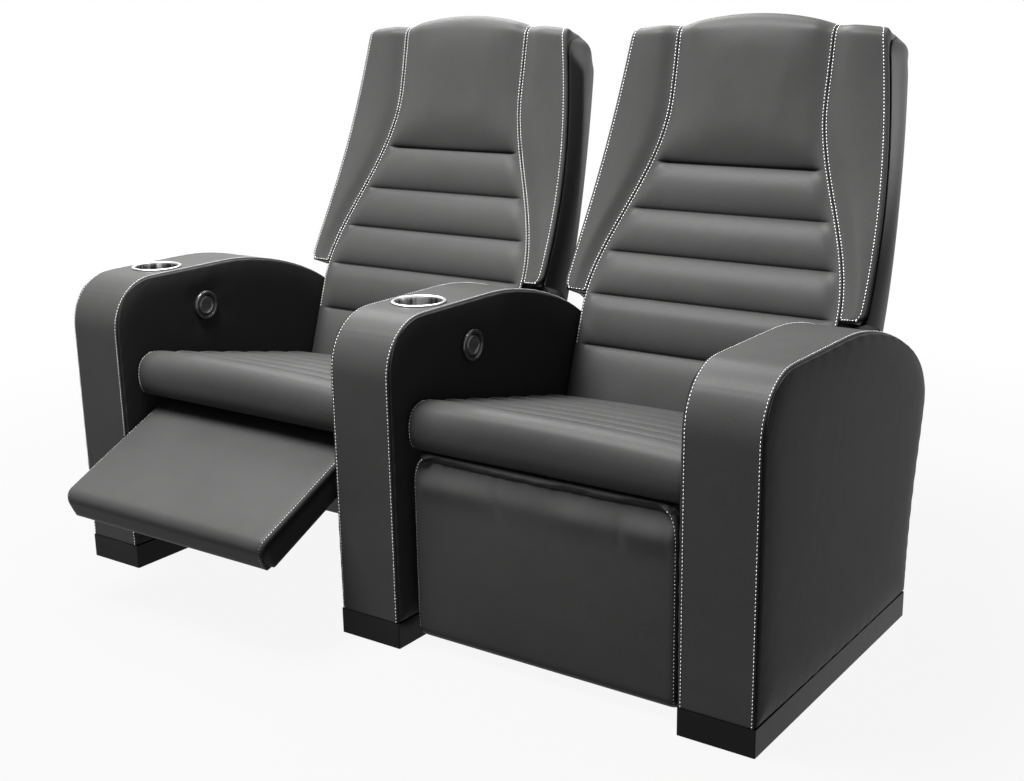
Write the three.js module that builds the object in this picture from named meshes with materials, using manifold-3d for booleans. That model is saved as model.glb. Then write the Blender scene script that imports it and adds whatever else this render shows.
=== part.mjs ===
// A row of two cinema recliner seats that share the arm between them.
// Lengths are in millimetres: x runs across the row, y from front to back and z up.
// Left and right are as seen by someone who faces the row.
// The pieces are placed from the front of the arms, y = 0, and the row is then moved back
// by half a plinth, so that the origin lies under the middle of the centre plinth.

import * as THREE from 'three';
import { mergeVertices } from 'three/addons/utils/BufferGeometryUtils.js';
import Module from 'manifold-3d';

const wasm = await Module();
wasm.setup();

// Clearances
const touchGap = 0.3; // between pieces that rest on each other
const runningGap = 0.6; // between a shaft and its bore
const cutOverrun = 2; // how far a cutting tool runs past the face that it cuts

// Row and arms
const seatOpening = 558; // between two arms
const armWidth = 142;
const armHeight = 600;
const armDepth = 682; // at the rearmost point of its side outline
const armFootDepth = 633; // at its foot
const armFrontRadius = 100;
const armTopLength = 210; // level stretch behind the front curve
const armEdgeRadius = 7;
const armFootRise = 62; // upright stretch of the rear edge above the plinth
const armRearHighShare = 0.69; // height of the rearmost point
const armShoulderShares = [[0.63, 1], [0.99, 0.883]]; // of depth and height
const armHollowShares = [[0.985, 0.567], [0.933, 0.417]]; // of depth and height

// Plinths
const plinthHeight = 48;
const plinthInset = 3;
const plinthCornerRadius = 2;

// Cup holders, in the left and the centre arm
const cupFromFront = 172;
const cupInnerRadius = 43.5;
const cupDepth = 70;
const cupWall = 1.6;
const cupFlangeWidth = 8;
const cupFlangeHeight = 3.5;
const cupFloorRadius = 8; // round between wall and floor

// Control switch, on the sitter's side of the same arms
const switchFromFront = 233;
const switchBelowTop = 84; // of the arm
const bezelRadius = 30.5;
const bezelStand = 6;
const bezelWall = 2.5;
const rockerRadius = 20;
const rockerGap = 1.4;
const rockerDish = 2.2; // hollow of each half of the rocker's face
const rockerThickness = 5;
const rockerPinRadius = 2;

// Seat frame
const sidePlateThickness = 5;
const plateBelowTubes = 37; // plate below the cross tubes
const flangeWidth = 24;
const flangeThickness = 4;
const crossTubeSize = 40;
const crossTubeWall = 3;
const crossTubeDrop = 112; // both tubes' centres below the leg rest's pivot
const frontTubeFromFront = 178;
const rearTubeFromFront = 540;
const tubeFootMargin = 16; // plate beyond a cross tube
const lighteningRadius = 34;
const shaftEarWidth = 14; // plate round a shaft

// Seat deck and cushion
const seatSlopeDeg = 12;
const deckFront = 150;
const deckFrontHeight = 359; // top of the deck at its front edge
const deckRear = 526;
const deckThickness = 12;
const deckEdgeRound = 2;
const deckSideGap = 8;
const cushionThickness = 84;
const cushionCrown = 9;
const cushionSideGap = 7; // to the arms
const cushionDrawIn = 5; // its sides pull in between front and rear
const cushionEndRound = 20;
const cushionEndShare = 0.86; // thickness left at the side seams
const rollDepth = 46; // front roll, from its centre forwards
const rollCentre = 78;
const rollBottom = 365; // lowest point of its round, before the leg rest's room is cut out
const rollLipDeg = 31; // where its underside begins, round the roll from that point
const rollPlainLength = 44; // smooth stretch behind the roll's centre
const cushionChannels = 6;
const cushionChannelDepth = 11;
const cushionBackGap = 4; // to the back's face
const rollUnderShares = [0.15, 0.35, 0.6, 0.8]; // of the way from the deck to that lip
const cushionAcrossShares = [1, 0.99, 0.96, 0.9, 0.5]; // of half its width, for its sections

// Leg rest, described in its closed place
const legPivotFromFront = 84;
const legPivotHeight = 287;
const legPadFront = 30;
const legPadReach = 88; // its top edge's swing round the pivot
const legSwingGap = 3; // to the cushion's roll
const legPadBottom = 18;
const legPadThickness = 31;
const legPadSideGap = 14; // to the arms
const legPadCrown = 6;
const legPadTopRadius = 9;
const legPadCornerRadius = 30; // of its upper corners, seen from the front
const legPadBottomRadius = 16;
const legPadEndRound = 13;
const legPadCornerShare = 0.6; // of that radius, that they fall
const legPadAcrossShares = [1, 0.985, 0.95, 0.5]; // of half its width, for its sections
const legPadFaceShares = [0.3, 0.5, 0.7]; // down its face
const legBoardThickness = 10;
const legSideDepth = 60; // of its sides and bottom, from its front
const legSideWidth = 14;
const legSideTop = 42; // below the pivot
const legBoardMargin = 14; // pad above its board
const legOpenDeg = 65; // left leg rest as it stands open
const legShaftRadius = 6;
const legBarrelWall = 4;
const legBarrelLength = 36;
const legArmThickness = 5;
const legArmWidth = 26;
const legArmFromSide = 46; // from the pad's side
const legCrossBarSize = 20;
const legCrossBarDrop = 84; // below the pivot
const legArmEndMargin = 42; // pad below the frame's arms

// Back, described upright: heights run up along it and depths run back from its face
const backTiltDeg = 19;
const backPivotFromFront = 565;
const backPivotHeight = 300;
const pivotBelowSeat = 44; // pivot below the line where seat and back meet
const pivotBehindFace = 48;
const backBottom = -20;
const backEdgeTop = 761; // top at the outer corners
const wingRise = 7; // top of the seams above the corners
const backCrown = 23; // middle of the top above the seams
const backCornerRadius = 14; // outer corners, seen from the front
const backSeamDepth = 78; // where the pads meet the shell
const backDepth = 128; // shell's rear at its foot
const backDepthGain = 20; // more of it at the top
const backHollow = 36; // the face curves in between seat and headrest
const backHollowFrom = 180;
const backHollowLength = 640;
const backLowerSideGap = 7; // to the arms
const wingFootDrop = 392; // foot of the wings below the arms' height, measured along the back
const wingOverArm = 45; // how far a wing's foot reaches over the arm
const wingTopInset = 11; // its top, in from the arm
const wingPower = 1.6;
const wingTopWidth = 104;
const padSpreadFrom = 620;
const padSpreadTo = 200;
const seamGap = 1.2; // between the middle pad and a wing
const wingBulge = 9;
const wingEdgeDrop = 12;
const padEdgeDrop = 12;
const padCrown = 4;
const padEdgePower = 8; // how late the pads fall away towards their edges
const channelEdgePower = 16; // how late the channels run out at the pad's edges
const padAcrossShares = [1, 0.97, 0.88, 0.5]; // of half its width
const wingAcrossShares = [0, 0.06, 0.25, 0.5, 0.78, 0.95, 1]; // from the inner seam outwards
const channelDepth = 14;
const ringSpacing = 1.4; // least height between two rings of points
const channelEdges = [102, 207, 299, 392, 490]; // heights of the sewn channels' seams
const channelShares = [0, 0.12, 0.35, 0.65, 0.88]; // where a channel's swell has its points
const headrestShares = [0, 0.03, 0.1, 0.25, 0.5, 0.75];
const seamShares = [0, 0.11, 0.22, 0.33, 0.44, 0.56, 0.68, 0.82, 1];
const topRound = 34;
const topRoundHeight = 26;
const topShares = [0.35, 0.7, 0.9, 1]; // rings of the rounded top
const rearRoundShare = 0.62; // of the shell's depth that rounds off at the top
const shellCornerRadius = 20;
const shellCornerShare = 0.3; // of the corner's radius, cut off at its middle point
const shellHeightShares = [0.3, 0.5, 0.7, 0.85, 1]; // of the height above the arms
const shellDrawIn = 8;
const ledgeDrop = 26; // the wings' underside falls to the rear
const ledgeHeight = 3;
const ledgeReach = 56;

// Back frame and its shaft
const backShaftRadius = 8;
const backTubeWall = 6;
const backTubeSideGap = 4; // to the side plates
const backBarThickness = 6;
const backBarFront = 22; // its front edge behind the face
const backBarRear = 104;
const backBarSideGap = 26;
const backRibShare = 0.8; // of half the bar's length

// Actuators
const actuatorOffset = 70; // each side of the seat's middle
const pinRadius = 5;
const lugThickness = 5;
const lugGap = 1.5;
const eyeThickness = 10;
const eyeWall = 6;
const eyeWeld = 1; // how far a rod's stem runs into its eye
const legLooseGap = 8.5; // round the pin in the rod's eye, the open pivot
const backLooseGap = 3;
const rodRadius = 9;
const rodGap = 0.7;
const actuatorTubeRadius = 16;
const boreStart = 100; // from the body's pin
const gearboxSize = 46;
const gearboxFrom = 24;
const gearboxDrop = 58; // its far end, beside the tube
const motorRadius = 20;
const motorLength = 92;
const actuatorPinStand = 27; // pin in front of its cross tube
const rodEndMargin = 6; // left in the bore when the rod is drawn in
const legTubeEnd = 250; // front end of the leg rest actuator's tube
const backTubeEnd = 226;
const legCrankRadius = 45;
const legCrankDeg = -45;
const backCrankRadius = 80;
const backCrankDeg = -80;
const backMaxDeg = 28;

// Control box under the rear cross tube
const boxSize = { across: 130, deep: 74, high: 42 };
const boxCorner = 6;
const inletSize = { across: 28, high: 16, deep: 12 };

// Numbers of facets
const cupSides = 24;
const roundSides = 18;
const smallSides = 12;
const arcSteps = 6;

// Worked out from the sizes above
const seatPitch = seatOpening + armWidth;
const seatHalf = seatOpening / 2;
const switchHeight = armHeight - switchBelowTop;
const wingBottom = armHeight - wingFootDrop;
const wingBottomHalf = seatHalf + wingOverArm;
const wingTopHalf = seatHalf - wingTopInset;
const padTopHalf = wingTopHalf - wingTopWidth;
const crossTubeHeight = legPivotHeight - crossTubeDrop;
const sidePlateBottom = crossTubeHeight - crossTubeSize / 2 - plateBelowTubes;
const seatSlope = Math.tan(THREE.MathUtils.degToRad(seatSlopeDeg));
const plateInner = seatHalf - touchGap - sidePlateThickness;
const cushionHalf = seatHalf - cushionSideGap;
const legPadHalf = seatHalf - legPadSideGap;
const lugSpread = eyeThickness / 2 + lugGap;
const legPivot = { y: legPivotFromFront, z: legPivotHeight };
const backPivot = { y: backPivotFromFront, z: backPivotHeight };
const legActuatorPin = {
  y: rearTubeFromFront - crossTubeSize / 2 - actuatorPinStand,
  z: crossTubeHeight,
};
const backActuatorPin = {
  y: frontTubeFromFront + crossTubeSize / 2 + actuatorPinStand,
  z: crossTubeHeight,
};
const legDrive = {
  offset: -actuatorOffset, fixedPin: legActuatorPin, pivot: legPivot, radius: legCrankRadius,
  shortestDeg: legCrankDeg, tubeEnd: legTubeEnd, turnedOver: true, looseGap: legLooseGap,
};
const backDrive = {
  offset: actuatorOffset, fixedPin: backActuatorPin, pivot: backPivot, radius: backCrankRadius,
  shortestDeg: backCrankDeg - backMaxDeg, tubeEnd: backTubeEnd, turnedOver: false, looseGap: backLooseGap,
};

// Materials
function finish(color, roughness, metalness) {
  return new THREE.MeshStandardMaterial({ color, roughness, metalness });
}
const leather = finish(0x2c2c2e, 0.45, 0);
const plinthBlack = finish(0x101011, 0.3, 0);
const stainless = finish(0xc9cacc, 0.25, 1);
const blackPlastic = finish(0x151516, 0.4, 0);
const blackSteel = finish(0x1c1d1f, 0.5, 0.6);
const zincSteel = finish(0x9da2a6, 0.35, 1);
const plywood = finish(0xa98555, 0.8, 0);
const greyCasting = finish(0x55585c, 0.5, 0.4);

// Small helpers
function rad(degrees) {
  return THREE.MathUtils.degToRad(degrees);
}

function part(name, geometry, material) {
  const mesh = new THREE.Mesh(geometry, material);
  mesh.name = name;
  return mesh;
}

function solid(geometry) {
  const bare = geometry.clone();
  bare.deleteAttribute('normal');
  bare.deleteAttribute('uv');
  const merged = mergeVertices(bare);
  return new wasm.Manifold(new wasm.Mesh({
    numProp: 3,
    vertProperties: new Float32Array(merged.attributes.position.array),
    triVerts: new Uint32Array(merged.index.array),
  }));
}

function geometryOf(body) {
  const mesh = body.getMesh();
  const geometry = new THREE.BufferGeometry();
  geometry.setAttribute('position', new THREE.BufferAttribute(mesh.vertProperties, 3));
  geometry.setIndex(new THREE.BufferAttribute(mesh.triVerts, 1));
  geometry.computeVertexNormals();
  return geometry;
}

function join(geometries) {
  const solids = geometries.map(solid);
  return geometryOf(solids.slice(1).reduce((sum, next) => sum.add(next), solids[0]));
}

function cut(geometry, tools) {
  return geometryOf(tools.map(solid).reduce((left, tool) => left.subtract(tool), solid(geometry)));
}

// A closed outline in y and z, drawn out across the row between two values of x
function acrossRow(outline, fromX, toX, edge = 0) {
  const geometry = new THREE.ExtrudeGeometry(outline, {
    depth: toX - fromX - 2 * edge,
    curveSegments: arcSteps,
    bevelEnabled: edge > 0,
    bevelSize: edge,
    bevelThickness: edge,
    bevelOffset: -edge,
    bevelSegments: 2,
  });
  geometry.applyMatrix4(new THREE.Matrix4().makeBasis(
    new THREE.Vector3(0, 1, 0), new THREE.Vector3(0, 0, 1), new THREE.Vector3(1, 0, 0)));
  geometry.translate(fromX + edge, 0, 0);
  return geometry;
}

function outlineOf(points) {
  return new THREE.Shape(points.map(([y, z]) => new THREE.Vector2(y, z)));
}

function rodAcross(radius, fromX, toX, place, sides = smallSides) {
  const geometry = new THREE.CylinderGeometry(radius, radius, toX - fromX, sides);
  geometry.rotateZ(Math.PI / 2);
  geometry.translate((fromX + toX) / 2, place.y, place.z);
  return geometry;
}

function block(fromX, toX, fromY, toY, fromZ, toZ) {
  const geometry = new THREE.BoxGeometry(toX - fromX, toY - fromY, toZ - fromZ);
  geometry.translate((fromX + toX) / 2, (fromY + toY) / 2, (fromZ + toZ) / 2);
  return geometry;
}

// A tapered flat bar between two round ends
function linkOutline(from, fromRadius, to, toRadius) {
  const run = new THREE.Vector2(to.y - from.y, to.z - from.z);
  const heading = run.angle();
  const lean = Math.asin((fromRadius - toRadius) / run.length());
  const outline = new THREE.Shape();
  outline.absarc(to.y, to.z, toRadius, heading - Math.PI / 2 + lean, heading + Math.PI / 2 - lean);
  outline.absarc(from.y, from.z, fromRadius,
    heading + Math.PI / 2 - lean, heading + 3 * Math.PI / 2 + lean);
  return outline;
}

// Joins closed rings of points, one after another, and closes both ends with a fan
function loft(rings) {
  const count = rings[0].length;
  const points = rings.flat();
  const faces = [];
  for (let row = 0; row + 1 < rings.length; row += 1) {
    for (let k = 0; k < count; k += 1) {
      const a = row * count + k;
      const b = row * count + ((k + 1) % count);
      faces.push(a, b, a + count, b, b + count, a + count);
    }
  }
  [[0, true], [points.length - count, false]].forEach(([start, isFirst]) => {
    const middle = new THREE.Vector3();
    for (let k = 0; k < count; k += 1) middle.addScaledVector(points[start + k], 1 / count);
    const centre = points.push(middle) - 1;
    for (let k = 0; k < count; k += 1) {
      const a = start + k;
      const b = start + ((k + 1) % count);
      faces.push(...(isFirst ? [b, a, centre] : [a, b, centre]));
    }
  });
  if (volumeOf(points, faces) < 0) faces.reverse();
  const geometry = new THREE.BufferGeometry().setFromPoints(points);
  geometry.setIndex(faces);
  geometry.computeVertexNormals();
  return geometry;
}

function volumeOf(points, faces) {
  let volume = 0;
  for (let f = 0; f < faces.length; f += 3) {
    const [a, b, c] = [points[faces[f]], points[faces[f + 1]], points[faces[f + 2]]];
    volume += a.dot(new THREE.Vector3().crossVectors(b, c)) / 6;
  }
  return volume;
}

// Shares of a half width, given from the side inwards, for both sides and the middle
function bothWays(shares) {
  return [...shares.map((share) => -share), 0, ...shares.slice().reverse()];
}

// How far a rounded edge has fallen, as a share, for a place from 0 to 1 along the round
function roundFall(place) {
  const t = THREE.MathUtils.clamp(place, 0, 1);
  return 1 - Math.sqrt(1 - t * t);
}

// Swell of a sewn channel, 0 in its seams and 1 in its middle
function channelSwell(place) {
  return Math.sqrt(Math.max(0, 4 * place * (1 - place)));
}

// Arms
function armOutline() {
  const [shoulderA, shoulderB] = armShoulderShares;
  const [hollowA, hollowB] = armHollowShares;
  const outline = new THREE.Shape();
  outline.moveTo(armFootDepth, plinthHeight);
  outline.lineTo(0, plinthHeight);
  outline.lineTo(0, armHeight - armFrontRadius);
  outline.absarc(armFrontRadius, armHeight - armFrontRadius, armFrontRadius, Math.PI, Math.PI / 2, true);
  outline.lineTo(armFrontRadius + armTopLength, armHeight);
  outline.bezierCurveTo(
    armDepth * shoulderA[0], armHeight * shoulderA[1],
    armDepth * shoulderB[0], armHeight * shoulderB[1],
    armDepth, armHeight * armRearHighShare);
  outline.bezierCurveTo(
    armDepth * hollowA[0], armHeight * hollowA[1],
    armDepth * hollowB[0], armHeight * hollowB[1],
    armFootDepth, plinthHeight + armFootRise);
  return outline;
}

function armBody(centreX, hasControls) {
  const body = acrossRow(armOutline(), centreX - armWidth / 2, centreX + armWidth / 2, armEdgeRadius);
  if (!hasControls) return body;
  const well = new THREE.CylinderGeometry(
    cupInnerRadius + cupWall + touchGap, cupInnerRadius + cupWall + touchGap,
    cupDepth + touchGap + cutOverrun, cupSides);
  well.rotateX(Math.PI / 2);
  well.translate(centreX, cupFromFront, armHeight + cutOverrun - (cupDepth + touchGap + cutOverrun) / 2);
  const face = centreX + armWidth / 2;
  const socket = rodAcross(rockerRadius + rockerGap + bezelWall + touchGap,
    face - rockerThickness - rockerGap - bezelWall - touchGap, face + cutOverrun,
    { y: switchFromFront, z: switchHeight }, roundSides);
  return cut(body, [well, socket]);
}

function plinthBody(centreX) {
  const half = armWidth / 2 - plinthInset;
  const outline = new THREE.Shape();
  const [left, right, front, rear] = [centreX - half, centreX + half, 0, armFootDepth - plinthInset];
  const r = plinthCornerRadius;
  outline.absarc(right - r, front + r, r, -Math.PI / 2, 0);
  outline.absarc(right - r, rear - r, r, 0, Math.PI / 2);
  outline.absarc(left + r, rear - r, r, Math.PI / 2, Math.PI);
  outline.absarc(left + r, front + r, r, Math.PI, 3 * Math.PI / 2);
  return new THREE.ExtrudeGeometry(outline, {
    depth: plinthHeight - touchGap, bevelEnabled: false, curveSegments: 3,
  });
}

// A pressed cup with a rolled flange that rests on the arm
function cupBody(centreX) {
  const outer = cupInnerRadius + cupWall;
  const rim = cupInnerRadius + cupFlangeWidth;
  const r = cupFloorRadius;
  const profile = new THREE.Path();
  profile.moveTo(0, -cupDepth);
  profile.lineTo(outer - r, -cupDepth);
  profile.lineTo(outer, r - cupDepth);
  profile.lineTo(outer, touchGap);
  profile.lineTo(rim, touchGap);
  profile.lineTo(rim, cupFlangeHeight / 2);
  profile.lineTo(rim - cupFlangeHeight / 2, cupFlangeHeight);
  profile.lineTo(cupInnerRadius + cupWall, cupFlangeHeight);
  profile.lineTo(cupInnerRadius, cupFlangeHeight - cupWall);
  profile.lineTo(cupInnerRadius, r - cupDepth);
  profile.lineTo(outer - r, cupWall - cupDepth);
  profile.lineTo(0, cupWall - cupDepth);
  const geometry = new THREE.LatheGeometry(profile.getPoints(), cupSides);
  geometry.rotateX(Math.PI / 2);
  geometry.translate(centreX, cupFromFront, armHeight);
  return geometry;
}

// The switch's round housing, let into the arm's side, open towards the sitter
function bezelBody(faceX) {
  const well = rockerRadius + rockerGap;
  const barrel = well + bezelWall;
  const floor = rockerThickness + rockerGap;
  const profile = [
    [0, -floor - bezelWall], [barrel, -floor - bezelWall], [barrel, touchGap], [bezelRadius, touchGap],
    [bezelRadius, bezelStand / 2], [bezelRadius - bezelWall, bezelStand], [barrel, bezelStand],
    [well, bezelStand - bezelWall], [well, -floor], [0, -floor],
  ].map(([radius, out]) => new THREE.Vector2(radius, out));
  const geometry = new THREE.LatheGeometry(profile, roundSides);
  geometry.rotateZ(-Math.PI / 2);
  geometry.translate(faceX, switchFromFront, switchHeight);
  return geometry;
}

// The rocker tilts about a pin that runs front to back, and each half of its face is dished
function rockerBody() {
  const disc = rodAcross(rockerRadius, -rockerThickness, rockerThickness, { y: 0, z: 0 }, roundSides);
  const face = new THREE.Shape();
  const edge = rockerThickness - rockerDish / 2;
  face.moveTo(-rockerThickness / 2, -rockerRadius);
  face.lineTo(edge, -rockerRadius);
  face.quadraticCurveTo(edge - rockerDish, -rockerRadius / 2, rockerThickness, 0);
  face.quadraticCurveTo(edge - rockerDish, rockerRadius / 2, edge, rockerRadius);
  face.lineTo(-rockerThickness / 2, rockerRadius);
  face.lineTo(-rockerThickness, 0);
  const shaper = new THREE.ExtrudeGeometry(face, {
    depth: 2 * rockerRadius, bevelEnabled: false, curveSegments: 4,
  });
  shaper.rotateX(Math.PI / 2);
  shaper.translate(0, rockerRadius, 0);
  const cap = solid(disc).intersect(solid(shaper));
  const pin = new THREE.CylinderGeometry(
    rockerPinRadius, rockerPinRadius, 2 * (rockerRadius + rockerGap - runningGap), smallSides / 2);
  return geometryOf(cap.add(solid(pin)));
}

// Seat frame
function deckTop(y) {
  return deckFrontHeight - (y - deckFront) * seatSlope;
}

function deckUnderside(y) {
  return deckTop(y) - deckThickness;
}

function sidePlateBody(side) {
  const plateTop = (y) => deckUnderside(y) - touchGap;
  const legEar = legShaftRadius + shaftEarWidth;
  const backEar = backShaftRadius + shaftEarWidth;
  const footFront = frontTubeFromFront - crossTubeSize / 2 - tubeFootMargin;
  const footRear = rearTubeFromFront + crossTubeSize / 2 + tubeFootMargin;
  const flangeFront = deckFront + shaftEarWidth;
  const outline = outlineOf([
    [legPivot.y - legEar, legPivot.z],
    [legPivot.y, legPivot.z + legEar],
    [flangeFront, plateTop(flangeFront)],
    [deckRear, plateTop(deckRear)],
    [backPivot.y, backPivot.z + backEar],
    [backPivot.y + backEar, backPivot.z],
    [footRear, crossTubeHeight],
    [footRear, sidePlateBottom],
    [footFront, sidePlateBottom],
    [footFront, crossTubeHeight],
  ]);
  const span = side > 0 ? [plateInner, plateInner + sidePlateThickness]
    : [-plateInner - sidePlateThickness, -plateInner];
  const plate = acrossRow(outline, span[0], span[1]);
  const ears = [
    rodAcross(legEar, span[0], span[1], legPivot),
    rodAcross(backEar, span[0], span[1], backPivot),
  ];
  const flange = acrossRow(outlineOf([
    [flangeFront, plateTop(flangeFront)], [deckRear, plateTop(deckRear)],
    [deckRear, plateTop(deckRear) - flangeThickness], [flangeFront, plateTop(flangeFront) - flangeThickness],
  ]), side > 0 ? plateInner - flangeWidth : -plateInner - sidePlateThickness,
  side > 0 ? plateInner + sidePlateThickness : -plateInner + flangeWidth);
  const through = [span[0] - cutOverrun, span[1] + cutOverrun];
  const holes = [1, 2, 3].map((k) => {
    const y = frontTubeFromFront + (rearTubeFromFront - frontTubeFromFront) * k / 4;
    return rodAcross(lighteningRadius, through[0], through[1],
      { y, z: (sidePlateBottom + plateTop(y)) / 2 });
  });
  return cut(join([plate, ...ears, flange]), [
    rodAcross(legShaftRadius + runningGap, through[0], through[1], legPivot),
    rodAcross(backShaftRadius + runningGap, through[0], through[1], backPivot),
    ...holes,
  ]);
}

// A pair of lugs and the pin through them, from a base outline to the pin's centre
function clevis(base, baseRadius, pin, pinSurround) {
  const bodies = [-1, 1].map((side) => {
    const inner = actuatorLug(side);
    return acrossRow(linkOutline(base, baseRadius, pin, pinSurround), inner[0], inner[1]);
  });
  bodies.push(rodAcross(pinRadius, -lugSpread - lugThickness, lugSpread + lugThickness, pin));
  return bodies;
}

function actuatorLug(side) {
  return side > 0 ? [lugSpread, lugSpread + lugThickness] : [-lugSpread - lugThickness, -lugSpread];
}

// A square tube between the side plates, with lugs that hold an actuator's fixed end
function crossTubeBody(centreY, pin, pinX) {
  const half = crossTubeSize / 2;
  const inner = half - crossTubeWall;
  const section = outlineOf([
    [centreY - half, crossTubeHeight - half], [centreY + half, crossTubeHeight - half],
    [centreY + half, crossTubeHeight + half], [centreY - half, crossTubeHeight + half],
  ]);
  section.holes.push(outlineOf([
    [centreY - inner, crossTubeHeight - inner], [centreY - inner, crossTubeHeight + inner],
    [centreY + inner, crossTubeHeight + inner], [centreY + inner, crossTubeHeight - inner],
  ]));
  const tube = acrossRow(section, -plateInner + touchGap, plateInner - touchGap);
  const wallY = centreY + Math.sign(pin.y - centreY) * (half - crossTubeWall / 2);
  const lugs = clevis({ y: wallY, z: crossTubeHeight }, half, pin, pinRadius + eyeWall);
  const bore = block(-seatHalf, seatHalf, centreY - inner, centreY + inner,
    crossTubeHeight - inner, crossTubeHeight + inner);
  const shifted = lugs.map((lug) => lug.translate(pinX, 0, 0));
  return join([tube, cut(join(shifted), [bore])]);
}

function deckBody() {
  const half = plateInner - deckSideGap;
  const outline = outlineOf([
    [deckFront, deckTop(deckFront)], [deckRear, deckTop(deckRear)],
    [deckRear, deckUnderside(deckRear)], [deckFront, deckUnderside(deckFront)],
  ]);
  return acrossRow(outline, -half, half, deckEdgeRound);
}

// How far back the back's face is at a height above the floor
function backFaceAt(z) {
  const tilt = rad(backTiltDeg);
  const faceFoot = {
    y: backPivot.y - pivotBehindFace * Math.cos(tilt) + pivotBelowSeat * Math.sin(tilt),
    z: backPivot.z + pivotBehindFace * Math.sin(tilt) + pivotBelowSeat * Math.cos(tilt),
  };
  return faceFoot.y + (z - faceFoot.z) * Math.tan(tilt);
}

// Lowest height over the leg rest's swing, at a place in front of or behind its pivot
function clearOfLegRest(y) {
  const swing = legPadReach + legSwingGap;
  return legPivot.z + Math.sqrt(Math.max(0, swing ** 2 - (y - legPivot.y) ** 2));
}

// One section of the seat cushion: the plump front roll, the sewn channels behind it, and the
// flat underside. across runs from -1 to 1 between the side seams.
function cushionSection(across) {
  const end = roundFall((Math.abs(across) * cushionHalf - (cushionHalf - cushionEndRound)) / cushionEndRound);
  const keep = 1 - (1 - cushionEndShare) * end;
  const seams = 1 - end;
  const rollTop = deckTop(rollCentre) + cushionThickness;
  const rollHalf = (rollTop - rollBottom) / 2;
  const topAt = (y) => deckTop(y) + cushionThickness - cushionCrown * across * across;
  const middleAt = (y) => deckTop(y) + touchGap + cushionThickness / 2;
  const points = [];
  for (let k = 0; k <= arcSteps + 1; k += 1) {
    const turn = -rad(THREE.MathUtils.lerp(90 + rollLipDeg, 270, k / (arcSteps + 1)));
    const y = rollCentre + rollDepth * keep * Math.cos(turn);
    const z = rollBottom + rollHalf + rollHalf * keep * Math.sin(turn)
      - cushionCrown * across * across * (1 + Math.sin(turn)) / 2;
    points.push([y, Math.max(z, clearOfLegRest(y))]);
  }
  const firstSeam = rollCentre + rollPlainLength;
  const rearMiddle = deckTop(deckRear) + cushionThickness / 2;
  const rearBottom = deckTop(deckRear) + touchGap;
  const rearTop = rearMiddle
    + (cushionThickness / 2 - cushionChannelDepth - cushionCrown * across * across) * keep;
  const rearEdge = backFaceAt(rearTop) - cushionBackGap;
  const channel = (rearEdge - firstSeam) / cushionChannels;
  for (let c = 0; c < cushionChannels; c += 1) {
    channelShares.forEach((place) => {
      const y = firstSeam + channel * (c + place);
      const dip = cushionChannelDepth * (1 - channelSwell(place)) * seams;
      points.push([y, middleAt(y) + (topAt(y) - middleAt(y)) * keep - dip]);
    });
  }
  points.push([rearEdge, rearTop]);
  points.push([backFaceAt(rearMiddle) - cushionBackGap, rearMiddle]);
  points.push([deckRear, rearMiddle + (rearBottom - rearMiddle) * keep]);
  const frontMiddle = middleAt(deckFront);
  points.push([deckFront, frontMiddle + (deckTop(deckFront) + touchGap - frontMiddle) * keep]);
  const lip = points[0][0];
  rollUnderShares.forEach((place) => {
    const y = THREE.MathUtils.lerp(deckFront, lip, place);
    const under = frontMiddle + (deckTop(y) + touchGap - frontMiddle) * keep;
    points.push([y, Math.max(under, clearOfLegRest(y))]);
  });
  return points;
}

function cushionBody() {
  const front = rollCentre - rollDepth;
  const rear = deckRear;
  return loft(bothWays(cushionAcrossShares).map((u) => cushionSection(u).map(([y, z]) => {
    const along = THREE.MathUtils.clamp((y - front) / (rear - front), 0, 1);
    const half = cushionHalf - cushionDrawIn * 4 * along * (1 - along);
    return new THREE.Vector3(u * half, y, z);
  })));
}

// Leg rest, in its closed place, measured from its pivot
function fromLegPivot(y, z) {
  return [y - legPivot.y, z - legPivot.z];
}

// Height of the pad's top, which is rounded about the pivot
function legPadTopAt(y) {
  return legPivot.z + Math.sqrt(legPadReach ** 2 - (y - legPivot.y) ** 2);
}

// One section of the leg rest's pad. across runs from -1 to 1 between its side seams.
function legPadSection(across) {
  const fromMiddle = Math.abs(across) * legPadHalf;
  const end = roundFall((fromMiddle - (legPadHalf - legPadEndRound)) / legPadEndRound);
  const corner = roundFall((fromMiddle - (legPadHalf - legPadCornerRadius)) / legPadCornerRadius);
  const fall = legPadCornerRadius * corner * legPadCornerShare;
  const front = legPadFront + legPadEndRound * end;
  const rear = legPadFront + legPadThickness;
  const points = [];
  for (let k = 0; k <= arcSteps / 2; k += 1) {
    const y = THREE.MathUtils.lerp(rear, front + legPadTopRadius, 2 * k / arcSteps);
    points.push([y, legPadTopAt(y) - fall]);
  }
  const edgeTop = legPadTopAt(front + legPadTopRadius) - fall;
  const faceTop = edgeTop - legPadTopRadius;
  const half = legPadTopRadius * (1 - Math.SQRT1_2);
  points.push([front + half, edgeTop - half], [front, faceTop]);
  const faceBottom = legPadBottom + legPadBottomRadius;
  legPadFaceShares.forEach((place) => {
    const swell = 4 * place * (1 - place) * (1 - across * across);
    points.push([front - legPadCrown * swell, THREE.MathUtils.lerp(faceTop, faceBottom, place)]);
  });
  for (let k = 0; k <= arcSteps / 2; k += 1) {
    const turn = Math.PI + Math.PI * k / arcSteps;
    points.push([front + legPadBottomRadius + legPadBottomRadius * Math.cos(turn),
      faceBottom + legPadBottomRadius * Math.sin(turn)]);
  }
  points.push([rear, legPadBottom]);
  return points;
}

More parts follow.
